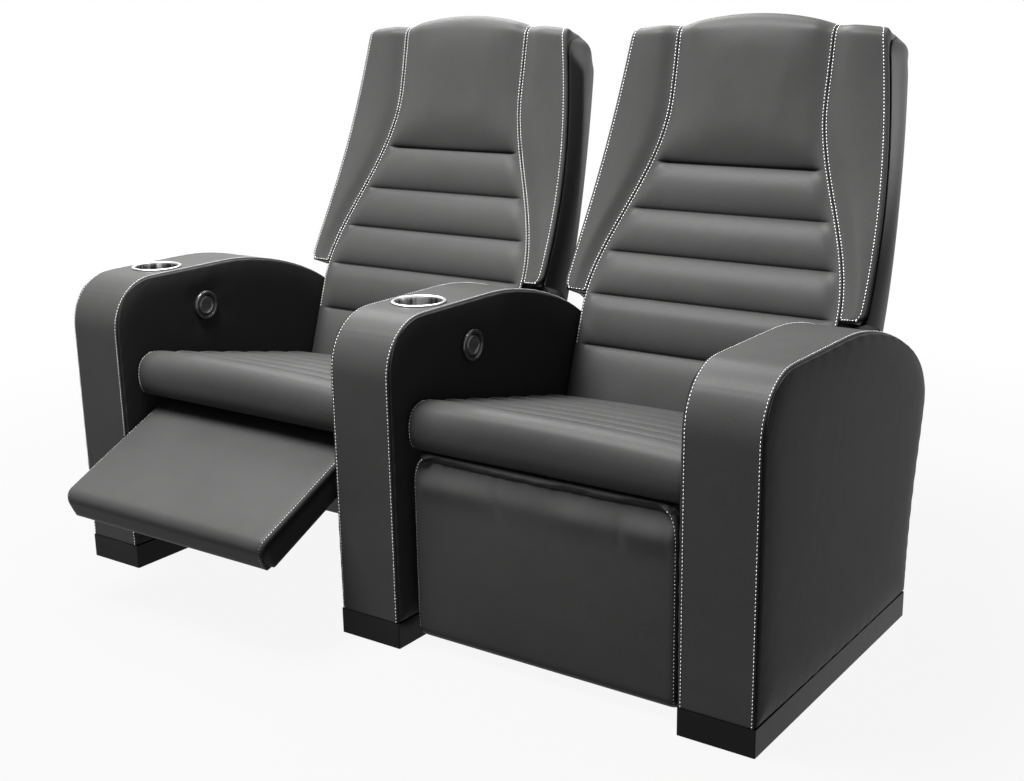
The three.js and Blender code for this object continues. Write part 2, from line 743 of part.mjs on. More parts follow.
// The pad's face with its top, and the sides and bottom that run back round the board
function legPadBody() {
  const face = loft(bothWays(legPadAcrossShares).map((u) => legPadSection(u).map(([y, z]) => {
    const [py, pz] = fromLegPivot(y, z);
    return new THREE.Vector3(u * legPadHalf, py, pz);
  })));
  const [faceRear, bottom] = fromLegPivot(legPadFront + legPadThickness, legPadBottom);
  const front = faceRear - legSideWidth / 2;
  const rear = legPadFront + legSideDepth - legPivot.y;
  const inner = legPadHalf - legSideWidth;
  const sides = [-1, 1].map((side) => block(Math.min(side * inner, side * legPadHalf),
    Math.max(side * inner, side * legPadHalf), front, rear, bottom, -legSideTop));
  return join([face, ...sides, block(-inner, inner, front, rear, bottom, bottom + legSideWidth)]);
}

function legBoardBody() {
  const front = legPadFront + legPadThickness + touchGap;
  const half = legPadHalf - legSideWidth - touchGap;
  const [y, top] = fromLegPivot(front, legPadTopAt(front) - legBoardMargin);
  const [, bottom] = fromLegPivot(front, legPadBottom + legSideWidth + touchGap);
  return block(-half, half, y, y + legBoardThickness, bottom, top);
}

function pointAt(centre, radius, degrees) {
  return { y: centre.y + radius * Math.cos(rad(degrees)), z: centre.z + radius * Math.sin(rad(degrees)) };
}

// The welded frame behind the leg rest: two arms, their barrels on the shaft, a cross bar and
// the lugs that the actuator pushes on
function legFrameBody() {
  const boardRear = legPadFront + legPadThickness + touchGap + legBoardThickness + touchGap - legPivot.y;
  const barrel = legShaftRadius + runningGap + legBarrelWall;
  const armEnd = legPadBottom + legArmEndMargin - legPivot.z;
  const origin = { y: 0, z: 0 };
  const bodies = [];
  [-1, 1].forEach((side) => {
    const armX = side * (legPadHalf - legArmFromSide);
    bodies.push(acrossRow(outlineOf([
      [boardRear, armEnd], [boardRear + legArmWidth / 2, armEnd],
      [boardRear + legArmWidth, -legCrossBarDrop], [barrel, 0], [0, barrel], [boardRear, 0],
    ]), armX - legArmThickness / 2, armX + legArmThickness / 2));
    bodies.push(rodAcross(barrel, armX - legBarrelLength / 2, armX + legBarrelLength / 2, origin));
    bodies.push(block(armX - legArmWidth / 2, armX + legArmWidth / 2, boardRear,
      boardRear + legArmThickness, armEnd, -barrel));
  });
  const bar = { y: boardRear + legCrossBarSize / 2, z: -legCrossBarDrop };
  const reach = legPadHalf - legArmFromSide;
  bodies.push(block(-reach, reach, bar.y - legCrossBarSize / 2, bar.y + legCrossBarSize / 2,
    bar.z - legCrossBarSize / 2, bar.z + legCrossBarSize / 2));
  const pin = pointAt(origin, legCrankRadius, legCrankDeg);
  clevis(bar, legCrossBarSize / 2, pin, pinRadius + eyeWall).forEach((lug) => {
    bodies.push(lug.translate(-actuatorOffset, 0, 0));
  });
  const shaftBore = rodAcross(legShaftRadius + runningGap, -seatHalf, seatHalf, origin);
  return cut(join(bodies), [shaftBore]);
}

// Back: heights and depths are from the line where the seat meets the back's face
function backPoint(x, height, depth) {
  return new THREE.Vector3(x, depth - pivotBehindFace, height + pivotBelowSeat);
}

function faceDepth(height) {
  const place = (height - backHollowFrom) / backHollowLength;
  return place > 0 && place < 1 ? backHollow * Math.sin(Math.PI * place) : 0;
}

function outerHalf(height) {
  const place = THREE.MathUtils.clamp((height - wingBottom) / (backEdgeTop - wingBottom), 0, 1);
  const corner = roundFall((height - (backEdgeTop - backCornerRadius)) / backCornerRadius);
  return wingBottomHalf - (wingBottomHalf - wingTopHalf) * place ** wingPower
    - backCornerRadius * corner;
}

function padCurve(height) {
  const lower = seatHalf - backLowerSideGap;
  const place = THREE.MathUtils.clamp((padSpreadFrom - height) / (padSpreadFrom - padSpreadTo), 0, 1);
  return padTopHalf + (lower - padTopHalf) * place * place * (3 - 2 * place);
}

// Heights at which the seam between the middle pad and a wing has its points
function seamHeights() {
  const run = padSpreadFrom - wingBottom;
  return [...seamShares.map((share) => wingBottom + run * share), backEdgeTop - topRoundHeight];
}

// Half the width of the middle pad, straight between the seam's points
function padHalf(height) {
  const heights = seamHeights();
  if (height <= heights[0]) return padCurve(Math.min(height, padSpreadTo));
  const next = heights.findIndex((knot) => knot > height);
  if (next < 0) return padTopHalf;
  const place = (height - heights[next - 1]) / (heights[next] - heights[next - 1]);
  return THREE.MathUtils.lerp(padCurve(heights[next - 1]), padCurve(heights[next]), place);
}

// The top of the back rises a little from its corners to the seams, and is crowned between them
function crownedHeight(height, x) {
  const rise = THREE.MathUtils.clamp((height - padSpreadFrom) / (backEdgeTop - padSpreadFrom), 0, 1);
  const inPad = 1 - (x / padTopHalf) ** 2;
  const onWing = Math.max(0, (wingTopHalf - Math.abs(x)) / wingTopWidth);
  return height + rise * rise * (inPad > 0 ? wingRise + backCrown * inPad : wingRise * onWing);
}

function topFall(height) {
  return roundFall((height - (backEdgeTop - topRoundHeight)) / topRoundHeight);
}

// Heights of the rings that show the sewn channels, with the headrest as the last one
function padHeights() {
  const edges = [backBottom, ...channelEdges, backEdgeTop];
  const heights = [];
  for (let c = 0; c + 1 < edges.length; c += 1) {
    const shares = c + 2 === edges.length ? headrestShares : channelShares;
    heights.push(...shares.map((place) => THREE.MathUtils.lerp(edges[c], edges[c + 1], place)));
  }
  heights.push(...seamHeights(), ...topHeights());
  heights.sort((a, b) => a - b);
  return heights.filter((height, k) => k === 0 || height - heights[k - 1] > ringSpacing);
}

function topHeights() {
  return topShares.map((share) => backEdgeTop - topRoundHeight * (1 - share));
}

function channelDip(height) {
  const edges = [backBottom, ...channelEdges, backEdgeTop];
  const c = edges.findIndex((edge, k) => height >= edge && height < edges[k + 1]);
  if (c < 0) return 0;
  const place = (height - edges[c]) / (edges[c + 1] - edges[c]);
  const isHeadrest = c + 2 === edges.length;
  if (isHeadrest && place > 0.5) return 0;
  if (c === 0 && place < 0.5) return 0;
  return channelDepth * (1 - channelSwell(place));
}

function backPadBody() {
  return loft(padHeights().map((height) => {
    const half = padHalf(height);
    const ring = bothWays(padAcrossShares).map((u) => {
      const edge = padEdgeDrop * Math.abs(u) ** padEdgePower + padCrown * u * u;
      const dip = channelDip(height) * (1 - Math.abs(u) ** channelEdgePower);
      const depth = faceDepth(height) + edge + dip + topRound * topFall(height);
      return backPoint(u * half, crownedHeight(height, u * half), depth);
    });
    [half, half / 2, 0, -half / 2, -half].forEach((x) => {
      ring.push(backPoint(x, crownedHeight(height, x), backSeamDepth));
    });
    return ring;
  }));
}

function wingBody(side) {
  return loft([...seamHeights(), ...topHeights()].map((height) => {
    const inner = padHalf(height) + seamGap;
    const outer = outerHalf(height);
    const ring = wingAcrossShares.map((v) => {
      const x = inner + (outer - inner) * v;
      const bulge = wingBulge * Math.sin(Math.PI * v) - wingEdgeDrop * Math.abs(2 * v - 1) ** padEdgePower;
      const depth = faceDepth(height) - bulge + topRound * topFall(height);
      return backPoint(side * x, crownedHeight(height, x), depth);
    });
    ring.push(backPoint(side * outer, crownedHeight(height, outer), backSeamDepth));
    ring.push(backPoint(side * inner, crownedHeight(height, inner), backSeamDepth));
    return ring;
  }));
}

// The shell behind the pads: narrow between the arms, and wide above them
function shellBody() {
  const lower = seatHalf - backLowerSideGap;
  const front = backSeamDepth + touchGap;
  const rings = [];
  const addRing = (height, half) => {
    const share = THREE.MathUtils.clamp((height - backBottom) / (backEdgeTop - backBottom), 0, 1);
    const full = backDepth + backDepthGain * share;
    const rear = full - (full - front) * rearRoundShare * topFall(height);
    const corner = Math.min(shellCornerRadius, (rear - front) / 2);
    const nearLedge = Math.max(0, 1 - Math.abs(height - wingBottom) / ledgeReach);
    const at = (x, depth) => {
      const fall = ledgeDrop * nearLedge * (depth - front) / (full - front);
      return backPoint(x, crownedHeight(height, x) - fall, depth);
    };
    const rearHalf = half - shellDrawIn;
    const sideRing = [
      [half, front],
      [half - shellDrawIn / 3, (front + rear - corner) / 2],
      [rearHalf, rear - corner],
      [rearHalf - corner * shellCornerShare, rear - corner * shellCornerShare],
      [rearHalf - corner, rear],
    ];
    rings.push([
      ...sideRing.map(([x, depth]) => at(x, depth)), at(half / 2, rear), at(0, rear), at(-half / 2, rear),
      ...sideRing.reverse().map(([x, depth]) => at(-x, depth)),
      at(-half / 2, front), at(0, front), at(half / 2, front),
    ]);
  };
  [backBottom, (backBottom + wingBottom) / 2, wingBottom - ledgeReach, wingBottom - ledgeHeight]
    .forEach((height) => addRing(height, lower));
  const top = backEdgeTop - topRoundHeight;
  addRing(wingBottom, outerHalf(wingBottom));
  addRing(wingBottom + ledgeReach, outerHalf(wingBottom + ledgeReach));
  shellHeightShares.forEach((place) => {
    const height = wingBottom + (top - wingBottom) * place;
    addRing(height, outerHalf(height));
  });
  topHeights().forEach((height) => addRing(height, outerHalf(height)));
  return loft(rings);
}

// The welded frame under the back: a tube on the shaft, a flat bar that carries shell and
// pads, and the lever that its actuator pulls. It is drawn upright, like the back.
function backFrameBody() {
  const origin = { y: 0, z: 0 };
  const tube = backShaftRadius + runningGap + backTubeWall;
  const reach = plateInner - backTubeSideGap;
  const barHalf = seatHalf - backBarSideGap;
  const ribX = barHalf * backRibShare;
  const barTop = backBottom + pivotBelowSeat - touchGap;
  const bar = block(-barHalf, barHalf, backBarFront - pivotBehindFace, backBarRear - pivotBehindFace,
    barTop - backBarThickness, barTop);
  const ribs = [-1, 1].map((side) => acrossRow(outlineOf([
    [-tube, 0], [tube, 0],
    [backBarRear - pivotBehindFace, barTop - backBarThickness / 2],
    [backBarFront - pivotBehindFace, barTop - backBarThickness / 2],
  ]), side * ribX - lugThickness / 2, side * ribX + lugThickness / 2));
  const lever = clevis(origin, tube, pointAt(origin, backCrankRadius, backCrankDeg + backTiltDeg),
    pinRadius + eyeWall).map((lug) => lug.translate(actuatorOffset, 0, 0));
  const bore = rodAcross(backShaftRadius + runningGap, -seatHalf, seatHalf, origin);
  return cut(join([rodAcross(tube, -reach, reach, origin, roundSides), bar, ...ribs, ...lever]), [bore]);
}

// Actuators, drawn along +y from the pin of their fixed end
function actuatorBody(tubeEnd, turnedOver) {
  const origin = { y: 0, z: 0 };
  const eye = pinRadius + runningGap + eyeWall;
  const boxEnd = gearboxFrom + gearboxSize;
  const eyeBar = acrossRow(linkOutline(origin, eye, { y: gearboxFrom + eyeWall, z: 0 }, eye - eyeWall / 3),
    -eyeThickness / 2, eyeThickness / 2);
  const boxOutline = new THREE.Shape();
  const low = -gearboxDrop;
  const high = actuatorTubeRadius + eyeWall / 2;
  boxOutline.moveTo(gearboxFrom, high - eyeWall);
  boxOutline.lineTo(gearboxFrom + eyeWall, high);
  boxOutline.lineTo(boxEnd - eyeWall, high);
  boxOutline.lineTo(boxEnd, high - eyeWall);
  boxOutline.lineTo(boxEnd, low + eyeWall);
  boxOutline.lineTo(boxEnd - eyeWall, low);
  boxOutline.lineTo(gearboxFrom + eyeWall, low);
  boxOutline.lineTo(gearboxFrom, low + eyeWall);
  const box = acrossRow(boxOutline, -gearboxSize / 2, gearboxSize / 2);
  const tube = new THREE.CylinderGeometry(
    actuatorTubeRadius, actuatorTubeRadius, tubeEnd - boxEnd + eyeWall, roundSides);
  tube.translate(0, (tubeEnd + boxEnd - eyeWall) / 2, 0);
  const collar = new THREE.CylinderGeometry(
    actuatorTubeRadius + eyeWall / 2, actuatorTubeRadius + eyeWall / 2, 2 * eyeWall, roundSides);
  collar.translate(0, tubeEnd - eyeWall, 0);
  const motor = new THREE.CylinderGeometry(motorRadius, motorRadius, motorLength, roundSides);
  motor.translate(0, boxEnd + motorLength / 2 - eyeWall, low + motorRadius + eyeWall);
  const bore = new THREE.CylinderGeometry(
    rodRadius + rodGap, rodRadius + rodGap, tubeEnd - boreStart + cutOverrun, roundSides);
  bore.translate(0, (tubeEnd + boreStart + cutOverrun) / 2, 0);
  const pinBore = rodAcross(pinRadius + runningGap, -eyeThickness, eyeThickness, origin);
  const body = cut(join([eyeBar, box, tube, collar, motor]), [bore, pinBore]);
  if (turnedOver) body.rotateY(Math.PI);
  return body;
}

// The rod, drawn along -y from the centre of its loose eye
function rodBody(length, looseGap) {
  const looseBore = pinRadius + looseGap;
  const eye = looseBore + eyeWall;
  const stemEnd = eye - eyeWeld;
  const stem = new THREE.CylinderGeometry(rodRadius, rodRadius, length - stemEnd, roundSides);
  stem.translate(0, -(length + stemEnd) / 2, 0);
  const ring = rodAcross(eye, -eyeThickness / 2, eyeThickness / 2, { y: 0, z: 0 }, roundSides);
  const bore = rodAcross(looseBore, -eyeThickness, eyeThickness, { y: 0, z: 0 }, roundSides);
  return cut(join([stem, ring]), [bore]);
}

// Where the crank pin of a swinging frame is, and how an actuator reaches it
function reachOf(fixedPin, pivot, radius, degrees) {
  const pin = pointAt(pivot, radius, degrees);
  const run = new THREE.Vector2(pin.y - fixedPin.y, pin.z - fixedPin.z);
  return { length: run.length(), angle: run.angle() };
}

function addActuator(seat, name, drive, restDeg) {
  const rest = reachOf(drive.fixedPin, drive.pivot, drive.radius, restDeg);
  const shortest = reachOf(drive.fixedPin, drive.pivot, drive.radius, drive.shortestDeg).length;
  const rodLength = shortest - boreStart - rodEndMargin;
  const group = new THREE.Group();
  group.position.set(drive.offset, drive.fixedPin.y, drive.fixedPin.z);
  group.rotation.x = rest.angle;
  group.add(part(`${name}_body`, actuatorBody(drive.tubeEnd, drive.turnedOver), greyCasting));
  const rod = part(`${name}_rod`, rodBody(rodLength, drive.looseGap), zincSteel);
  rod.position.y = rest.length;
  group.add(rod);
  seat.add(group);
}

function controlBoxBody() {
  const top = crossTubeHeight - crossTubeSize / 2 - touchGap;
  const half = boxSize.across / 2;
  const front = rearTubeFromFront - boxSize.deep / 2;
  const outline = outlineOf([
    [front, top - boxSize.high], [front + boxSize.deep, top - boxSize.high],
    [front + boxSize.deep, top], [front, top],
  ]);
  const box = acrossRow(outline, -half, half, boxCorner / 2);
  const rear = front + boxSize.deep;
  const inlet = block(-inletSize.across / 2, inletSize.across / 2, rear - inletSize.deep, rear + cutOverrun,
    top - (boxSize.high + inletSize.high) / 2, top - (boxSize.high - inletSize.high) / 2);
  return cut(box, [inlet]);
}

// One seat between two arms. openDeg is how far its leg rest is swung out at rest.
function buildSeat(side, centreX, openDeg) {
  const seat = new THREE.Group();
  seat.position.x = centreX;

  seat.add(part(`${side}_side_plate_a`, sidePlateBody(-1), blackSteel));
  seat.add(part(`${side}_side_plate_b`, sidePlateBody(1), blackSteel));
  seat.add(part(`${side}_front_cross_tube`,
    crossTubeBody(frontTubeFromFront, backActuatorPin, actuatorOffset), blackSteel));
  seat.add(part(`${side}_rear_cross_tube`,
    crossTubeBody(rearTubeFromFront, legActuatorPin, -actuatorOffset), blackSteel));
  seat.add(part(`${side}_seat_deck`, deckBody(), plywood));
  seat.add(part(`${side}_seat_cushion`, cushionBody(), leather));
  const shaftEnd = seatHalf - touchGap - touchGap;
  seat.add(part(`${side}_leg_rest_shaft`,
    rodAcross(legShaftRadius, -shaftEnd, shaftEnd, legPivot), zincSteel));
  seat.add(part(`${side}_back_shaft`,
    rodAcross(backShaftRadius, -shaftEnd, shaftEnd, backPivot), zincSteel));
  seat.add(part(`${side}_control_box`, controlBoxBody(), blackPlastic));

  const legRest = new THREE.Group();
  legRest.position.set(0, legPivot.y, legPivot.z);
  legRest.rotation.x = -rad(openDeg);
  legRest.add(part(`${side}_leg_rest_pad`, legPadBody(), leather));
  legRest.add(part(`${side}_leg_rest_board`, legBoardBody(), plywood));
  legRest.add(part(`${side}_leg_rest_frame`, legFrameBody(), blackSteel));
  seat.add(legRest);

  const back = new THREE.Group();
  back.position.set(0, backPivot.y, backPivot.z);
  back.rotation.x = -rad(backTiltDeg);
  back.add(part(`${side}_back_shell`, shellBody(), leather));
  back.add(part(`${side}_back_middle_pad`, backPadBody(), leather));
  back.add(part(`${side}_back_wing_a`, wingBody(-1), leather));
  back.add(part(`${side}_back_wing_b`, wingBody(1), leather));
  back.add(part(`${side}_back_frame`, backFrameBody(), blackSteel));
  seat.add(back);

  addActuator(seat, `${side}_leg_rest_actuator`, legDrive, legCrankDeg - openDeg);
  addActuator(seat, `${side}_back_actuator`, backDrive, backCrankDeg);
  return seat;
}

// An arm on its plinth, with a cup holder and the next seat's switch where it has controls
function buildArm(name, centreX, controlsFor) {
  const arm = new THREE.Group();
  arm.add(part(`${name}_plinth`, plinthBody(centreX), plinthBlack));
  arm.add(part(`${name}_arm`, armBody(centreX, controlsFor !== null), leather));
  if (controlsFor === null) return arm;
  const faceX = centreX + armWidth / 2;
  arm.add(part(`${name}_cup_holder`, cupBody(centreX), stainless));
  arm.add(part(`${controlsFor}_switch_bezel`, bezelBody(faceX), blackPlastic));
  const rocker = part(`${controlsFor}_switch_rocker`, rockerBody(), blackPlastic);
  rocker.position.set(faceX, switchFromFront, switchHeight);
  arm.add(rocker);
  return arm;
}

const row = new THREE.Group();
row.position.y = -(armFootDepth - plinthInset) / 2;
row.add(buildArm('left', -seatPitch, 'left'));
row.add(buildArm('center', 0, 'right'));
row.add(buildArm('right', seatPitch, null));
row.add(buildSeat('left', -seatPitch / 2, legOpenDeg));
row.add(buildSeat('right', seatPitch / 2, 0));

export default row;
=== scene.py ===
import math

import bpy
from mathutils import Matrix, Vector, noise


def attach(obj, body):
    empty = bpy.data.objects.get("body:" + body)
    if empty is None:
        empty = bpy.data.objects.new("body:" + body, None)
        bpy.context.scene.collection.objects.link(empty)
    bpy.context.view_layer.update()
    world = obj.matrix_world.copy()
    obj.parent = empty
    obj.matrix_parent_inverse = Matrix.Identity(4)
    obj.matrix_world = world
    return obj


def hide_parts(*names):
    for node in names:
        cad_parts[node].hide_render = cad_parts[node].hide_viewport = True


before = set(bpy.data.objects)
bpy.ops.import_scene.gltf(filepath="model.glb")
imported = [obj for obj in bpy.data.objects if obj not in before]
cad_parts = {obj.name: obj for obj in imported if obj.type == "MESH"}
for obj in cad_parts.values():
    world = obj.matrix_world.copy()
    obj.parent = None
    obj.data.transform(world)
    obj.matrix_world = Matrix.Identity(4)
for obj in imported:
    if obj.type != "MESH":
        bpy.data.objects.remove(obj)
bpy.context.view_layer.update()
bpy.context.scene.view_settings.view_transform = "Standard"
print("frame loaded:", len(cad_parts), "nodes")

rowSizes = {
    "seatPitch": 0.700,  # from the middle of one arm to the next
    "frontY": -0.315,  # the arms' front
    "seatX": {"left": -0.350, "right": 0.350},
}
mm = 0.001


# Camera

cameraSetup = {
    "place": (1.59975, -2.10903, 1.1246),
    "yaw": 35.38,
    "pitch": 15.35,
    "roll": -1.01,
    "focalPixels": 1422.69,
    "imageWidth": 1024,
}


def addCamera(setup):
    yaw, pitch, roll = (math.radians(setup[key]) for key in ("yaw", "pitch", "roll"))
    flat = math.cos(pitch)
    ahead = Vector((-math.sin(yaw) * flat, math.cos(yaw) * flat, -math.sin(pitch)))
    level = Vector((math.cos(yaw), math.sin(yaw), 0))
    across = level * math.cos(roll) + level.cross(ahead) * math.sin(roll)
    upward = across.cross(ahead)
    bpy.ops.object.camera_add()
    camera = bpy.context.object
    camera.name = "photoCamera"
    turn = Matrix((across, upward, -ahead)).transposed().to_4x4()
    camera.matrix_world = Matrix.Translation(setup["place"]) @ turn
    camera.data.sensor_fit = "HORIZONTAL"
    camera.data.sensor_width = 36
    camera.data.lens = setup["focalPixels"] / setup["imageWidth"] * 36
    camera.data.clip_end = 200
    bpy.context.scene.camera = camera


addCamera(cameraSetup)


# Shader building: sockets wrapped so that maths on them can be written as expressions

class Wire:
    def __init__(self, shader, socket):
        self.shader = shader
        self.socket = socket

    def maths(self, operation, first, second=0.0, hold=False):
        settings = {"operation": operation, "use_clamp": hold}
        return self.shader.add("ShaderNodeMath", settings, {0: first, 1: second})

    def __add__(self, other):
        return self.maths("ADD", self, other)

    def __sub__(self, other):
        return self.maths("SUBTRACT", self, other)

    def __rsub__(self, other):
        return self.maths("SUBTRACT", other, self)

    def __mul__(self, other):
        return self.maths("MULTIPLY", self, other)

    __radd__ = __add__
    __rmul__ = __mul__

    def held(self):
        return self.maths("ADD", self, 0.0, hold=True)

    def sine(self):
        return self.maths("SINE", self)


class Finish:  # the node tree of a material or of the world
    def __init__(self, owner):
        self.owner = owner
        owner.use_nodes = True
        self.tree = owner.node_tree
        self.tree.nodes.clear()

    def add(self, kind, settings=None, values=None, output=0):
        node = self.tree.nodes.new(kind)
        for key, value in (settings or {}).items():
            if key == "stops":
                self.setStops(node.color_ramp, value)
            else:
                setattr(node, key, value)
        for key, value in (values or {}).items():
            if isinstance(value, Wire):
                self.tree.links.new(value.socket, node.inputs[key])
            else:
                node.inputs[key].default_value = value
        return Wire(self, node.outputs[output]) if node.outputs else None

    def setStops(self, ramp, stops):
        while len(ramp.elements) < len(stops):
            ramp.elements.new(0.5)
        for element, (place, shade) in zip(ramp.elements, stops):
            element.position = place
            element.color = (shade, shade, shade, 1)

    def coords(self, scale=(1, 1, 1)):
        place = self.add("ShaderNodeTexCoord", output="Object")
        return self.add("ShaderNodeMapping", values={"Vector": place, "Scale": scale})

    def noise(self, scale, detail=3.0, roughness=0.5, stretch=(1, 1, 1), distortion=0.0):
        return self.add("ShaderNodeTexNoise", values={
            "Vector": self.coords(stretch), "Scale": scale, "Detail": detail,
            "Roughness": roughness, "Distortion": distortion})

    def cells(self, scale):
        return self.add("ShaderNodeTexVoronoi", values={"Vector": self.coords(), "Scale": scale})

    def softCells(self, scale, smoothness):
        return self.add("ShaderNodeTexVoronoi", {"feature": "SMOOTH_F1"},
                        {"Vector": self.coords(), "Scale": scale, "Smoothness": smoothness})

    def ramp(self, value, *stops):
        return self.add("ShaderNodeValToRGB", {"stops": stops}, {"Fac": value})

    def blend(self, share, first, second):
        values = {0: share, 6: first, 7: second}
        return self.add("ShaderNodeMix", {"data_type": "RGBA"}, values, output=2)

    def bump(self, height, distance, strength, under=None):
        values = {"Height": height, "Distance": distance, "Strength": strength}
        if under:
            values["Normal"] = under
        return self.add("ShaderNodeBump", values=values)

    def close(self, colour, roughness, normal, constants=None):
        values = {"Base Color": colour, "Roughness": roughness, "Normal": normal}
        shader = self.add("ShaderNodeBsdfPrincipled", values={**values, **(constants or {})})
        self.add("ShaderNodeOutputMaterial", values={0: shader})
        return self.owner


def newFinish(name):
    return Finish(bpy.data.materials.new(name))


def grey(level, warm=0.0):
    return (level * (1 + warm), level, level * (1 - warm), 1)


# Finishes

leatherLook = {
    "shade": 0.031,
    "lightShade": 0.037,
    # near-black colour of the painted shade in seams, grooves and folds, and the tone of the pores
    "poreToneAndPaintedSeamShade": 0.005,
    "roughness": 0.40,
    "specular": 0.042,
    "grainPerMetre": 620,
    "grainDepth": 0.00020,
    "creasesPerMetre": 19,
    "creaseDepth": 0.0012,
}


def leatherFinish(look):
    f = newFinish("leatherette")
    seam = f.add("ShaderNodeAttribute", {"attribute_name": "seam"}, output="Fac")
    cloud = f.noise(3.2, 4.0, 0.55)
    patch = f.noise(26.0, 5.0, 0.6)
    grain = f.softCells(look["grainPerMetre"], 0.35)
    fine = f.noise(look["grainPerMetre"] * 1.7, 2.0)
    pores = f.ramp(grain, (0.05, 0.0), (0.62, 1.0))
    wear = f.ramp(cloud, (0.35, 0.0), (0.7, 1.0))
    base = f.blend(wear, grey(look["shade"], 0.01), grey(look["lightShade"], 0.01))
    worn = f.blend(patch * 0.22, base, grey(look["lightShade"] * 1.25))
    # painted shade: the seam attribute darkens seams, grooves and folds towards the near-black
    # colour
    dark = f.blend((seam * 0.85).held(), worn, grey(look["poreToneAndPaintedSeamShade"]))
    colour = f.blend((1 - pores) * 0.25, dark, grey(look["poreToneAndPaintedSeamShade"]))
    rough = look["roughness"] + (cloud - 0.5) * 0.10 + (patch - 0.5) * 0.08
    rough = rough + (1 - pores) * 0.05 + seam * 0.15
    creases = f.noise(look["creasesPerMetre"], 2.0, 0.45, distortion=0.6)
    broad = f.bump(creases, look["creaseDepth"], 0.32)
    normal = f.bump(pores * 0.8 + fine * 0.2, look["grainDepth"], 0.3, under=broad)
    return f.close(colour, rough, normal, {"Specular IOR Level": look["specular"]})


def threadFinish():
    f = newFinish("whiteThread")
    twist = f.noise(1400, 2.0)
    dirt = f.ramp(f.noise(40, 3.0), (0.35, 0.0), (0.75, 1.0))
    colour = f.blend(dirt, grey(0.70), grey(0.52, 0.02))
    return f.close(colour, 0.7 + twist * 0.1, f.bump(twist, 0.0003, 0.4))


def darkThreadFinish():
    f = newFinish("blackThread")
    twist = f.noise(1400, 2.0)
    colour = f.blend(twist, grey(0.004), grey(0.010))
    return f.close(colour, 0.6 + twist * 0.1, f.bump(twist, 0.0003, 0.4))


def plinthFinish():
    f = newFinish("blackLaminate")
    scuff = f.noise(60, 5.0, 0.65, (1, 1, 3))
    dust = f.noise(9, 4.0)
    peel = f.noise(220, 2.0)
    colour = f.blend(f.ramp(dust, (0.4, 0.0), (0.85, 1.0)), grey(0.0035), grey(0.007))
    rough = 0.20 + scuff * 0.14 + dust * 0.05
    return f.close(colour, rough, f.bump(peel, 0.0002, 0.12), {"Specular IOR Level": 0.08})


def steelFinish(name, shade, roughness, stretch):
    f = newFinish(name)
    lines = f.noise(90, 3.0, 0.6, stretch)
    smear = f.noise(14, 3.0)
    colour = f.blend(smear, grey(shade * 0.88), grey(shade))
    rough = roughness + (lines - 0.5) * 0.14 + (smear - 0.5) * 0.06
    return f.close(colour, rough, f.bump(lines, 0.0002, 0.12), {"Metallic": 1.0})


def cupFinish():
    f = newFinish("spunStainless")
    streaks = f.noise(78, 1.0, 0.5, (1, 1, 0.03))
    smear = f.noise(30, 3.0)
    height = f.add("ShaderNodeSeparateXYZ", values={"Vector": f.coords()}, output="Z")
    inside = f.ramp(height, (0.5975, 1.0), (0.600, 0.0))  # metres up, the flange is plain
    # painted reflection: light and dark streaks in the metal's colour inside the cup
    paintedReflectionStreaks = f.blend(f.ramp(streaks, (0.46, 0.0), (0.60, 1.0)), grey(0.08), grey(0.62))
    colour = f.blend(inside, grey(0.55), paintedReflectionStreaks)
    normal = f.bump(streaks * inside, 0.001, 0.3)
    return f.close(colour, 0.24 + smear * 0.1, normal, {"Metallic": 1.0})


def plasticFinish(name, shade, roughness, textureDepth, specular=0.5):
    f = newFinish(name)
    spark = f.cells(1500)
    wear = f.noise(32, 4.0)
    colour = f.blend(f.ramp(wear, (0.45, 0.0), (0.8, 1.0)), grey(shade), grey(shade * 1.7))
    rough = roughness + (wear - 0.5) * 0.12
    normal = f.bump(spark, textureDepth, 0.5)
    return f.close(colour, rough, normal, {"Specular IOR Level": specular})


def paintFinish():
    f = newFinish("blackPowderCoat")
    peel = f.softCells(900, 0.6)
    chips = f.noise(120, 6.0, 0.7)
    dust = f.noise(8, 4.0)
    bare = f.ramp(chips, (0.70, 0.0), (0.73, 1.0)) * 0.6
    colour = f.blend(bare, f.blend(dust, grey(0.014), grey(0.026)), grey(0.20))
    normal = f.bump(peel, 0.0003, 0.4)
    return f.close(colour, 0.46 + (dust - 0.5) * 0.14, normal, {"Metallic": bare})


def plywoodFinish():
    f = newFinish("plywood")
    rings = f.noise(7, 4.0, 0.6, (1, 9, 1), distortion=1.2)
    fibre = f.noise(160, 4.0, 0.6, (1, 12, 12))
    plies = f.add("ShaderNodeSeparateXYZ", values={"Vector": f.coords()}, output="Z")
    layer = ((plies * 2600.0).sine() * 0.5 + 0.5) * 0.18
    shade = f.blend(rings, (0.46, 0.30, 0.15, 1), (0.62, 0.44, 0.25, 1))
    colour = f.blend(layer + fibre * 0.25, shade, (0.26, 0.15, 0.07, 1))
    return f.close(colour, 0.62 + fibre * 0.2, f.bump(fibre, 0.0004, 0.5))


def castFinish():
    f = newFinish("coatedCasting")
    sand = f.cells(1100)
    oil = f.noise(18, 4.0)
    colour = f.blend(f.ramp(oil, (0.4, 0.0), (0.8, 1.0)), grey(0.075), grey(0.045, 0.05))
    return f.close(colour, 0.48 + (oil - 0.5) * 0.2, f.bump(sand, 0.0004, 0.6), {"Metallic": 0.35})


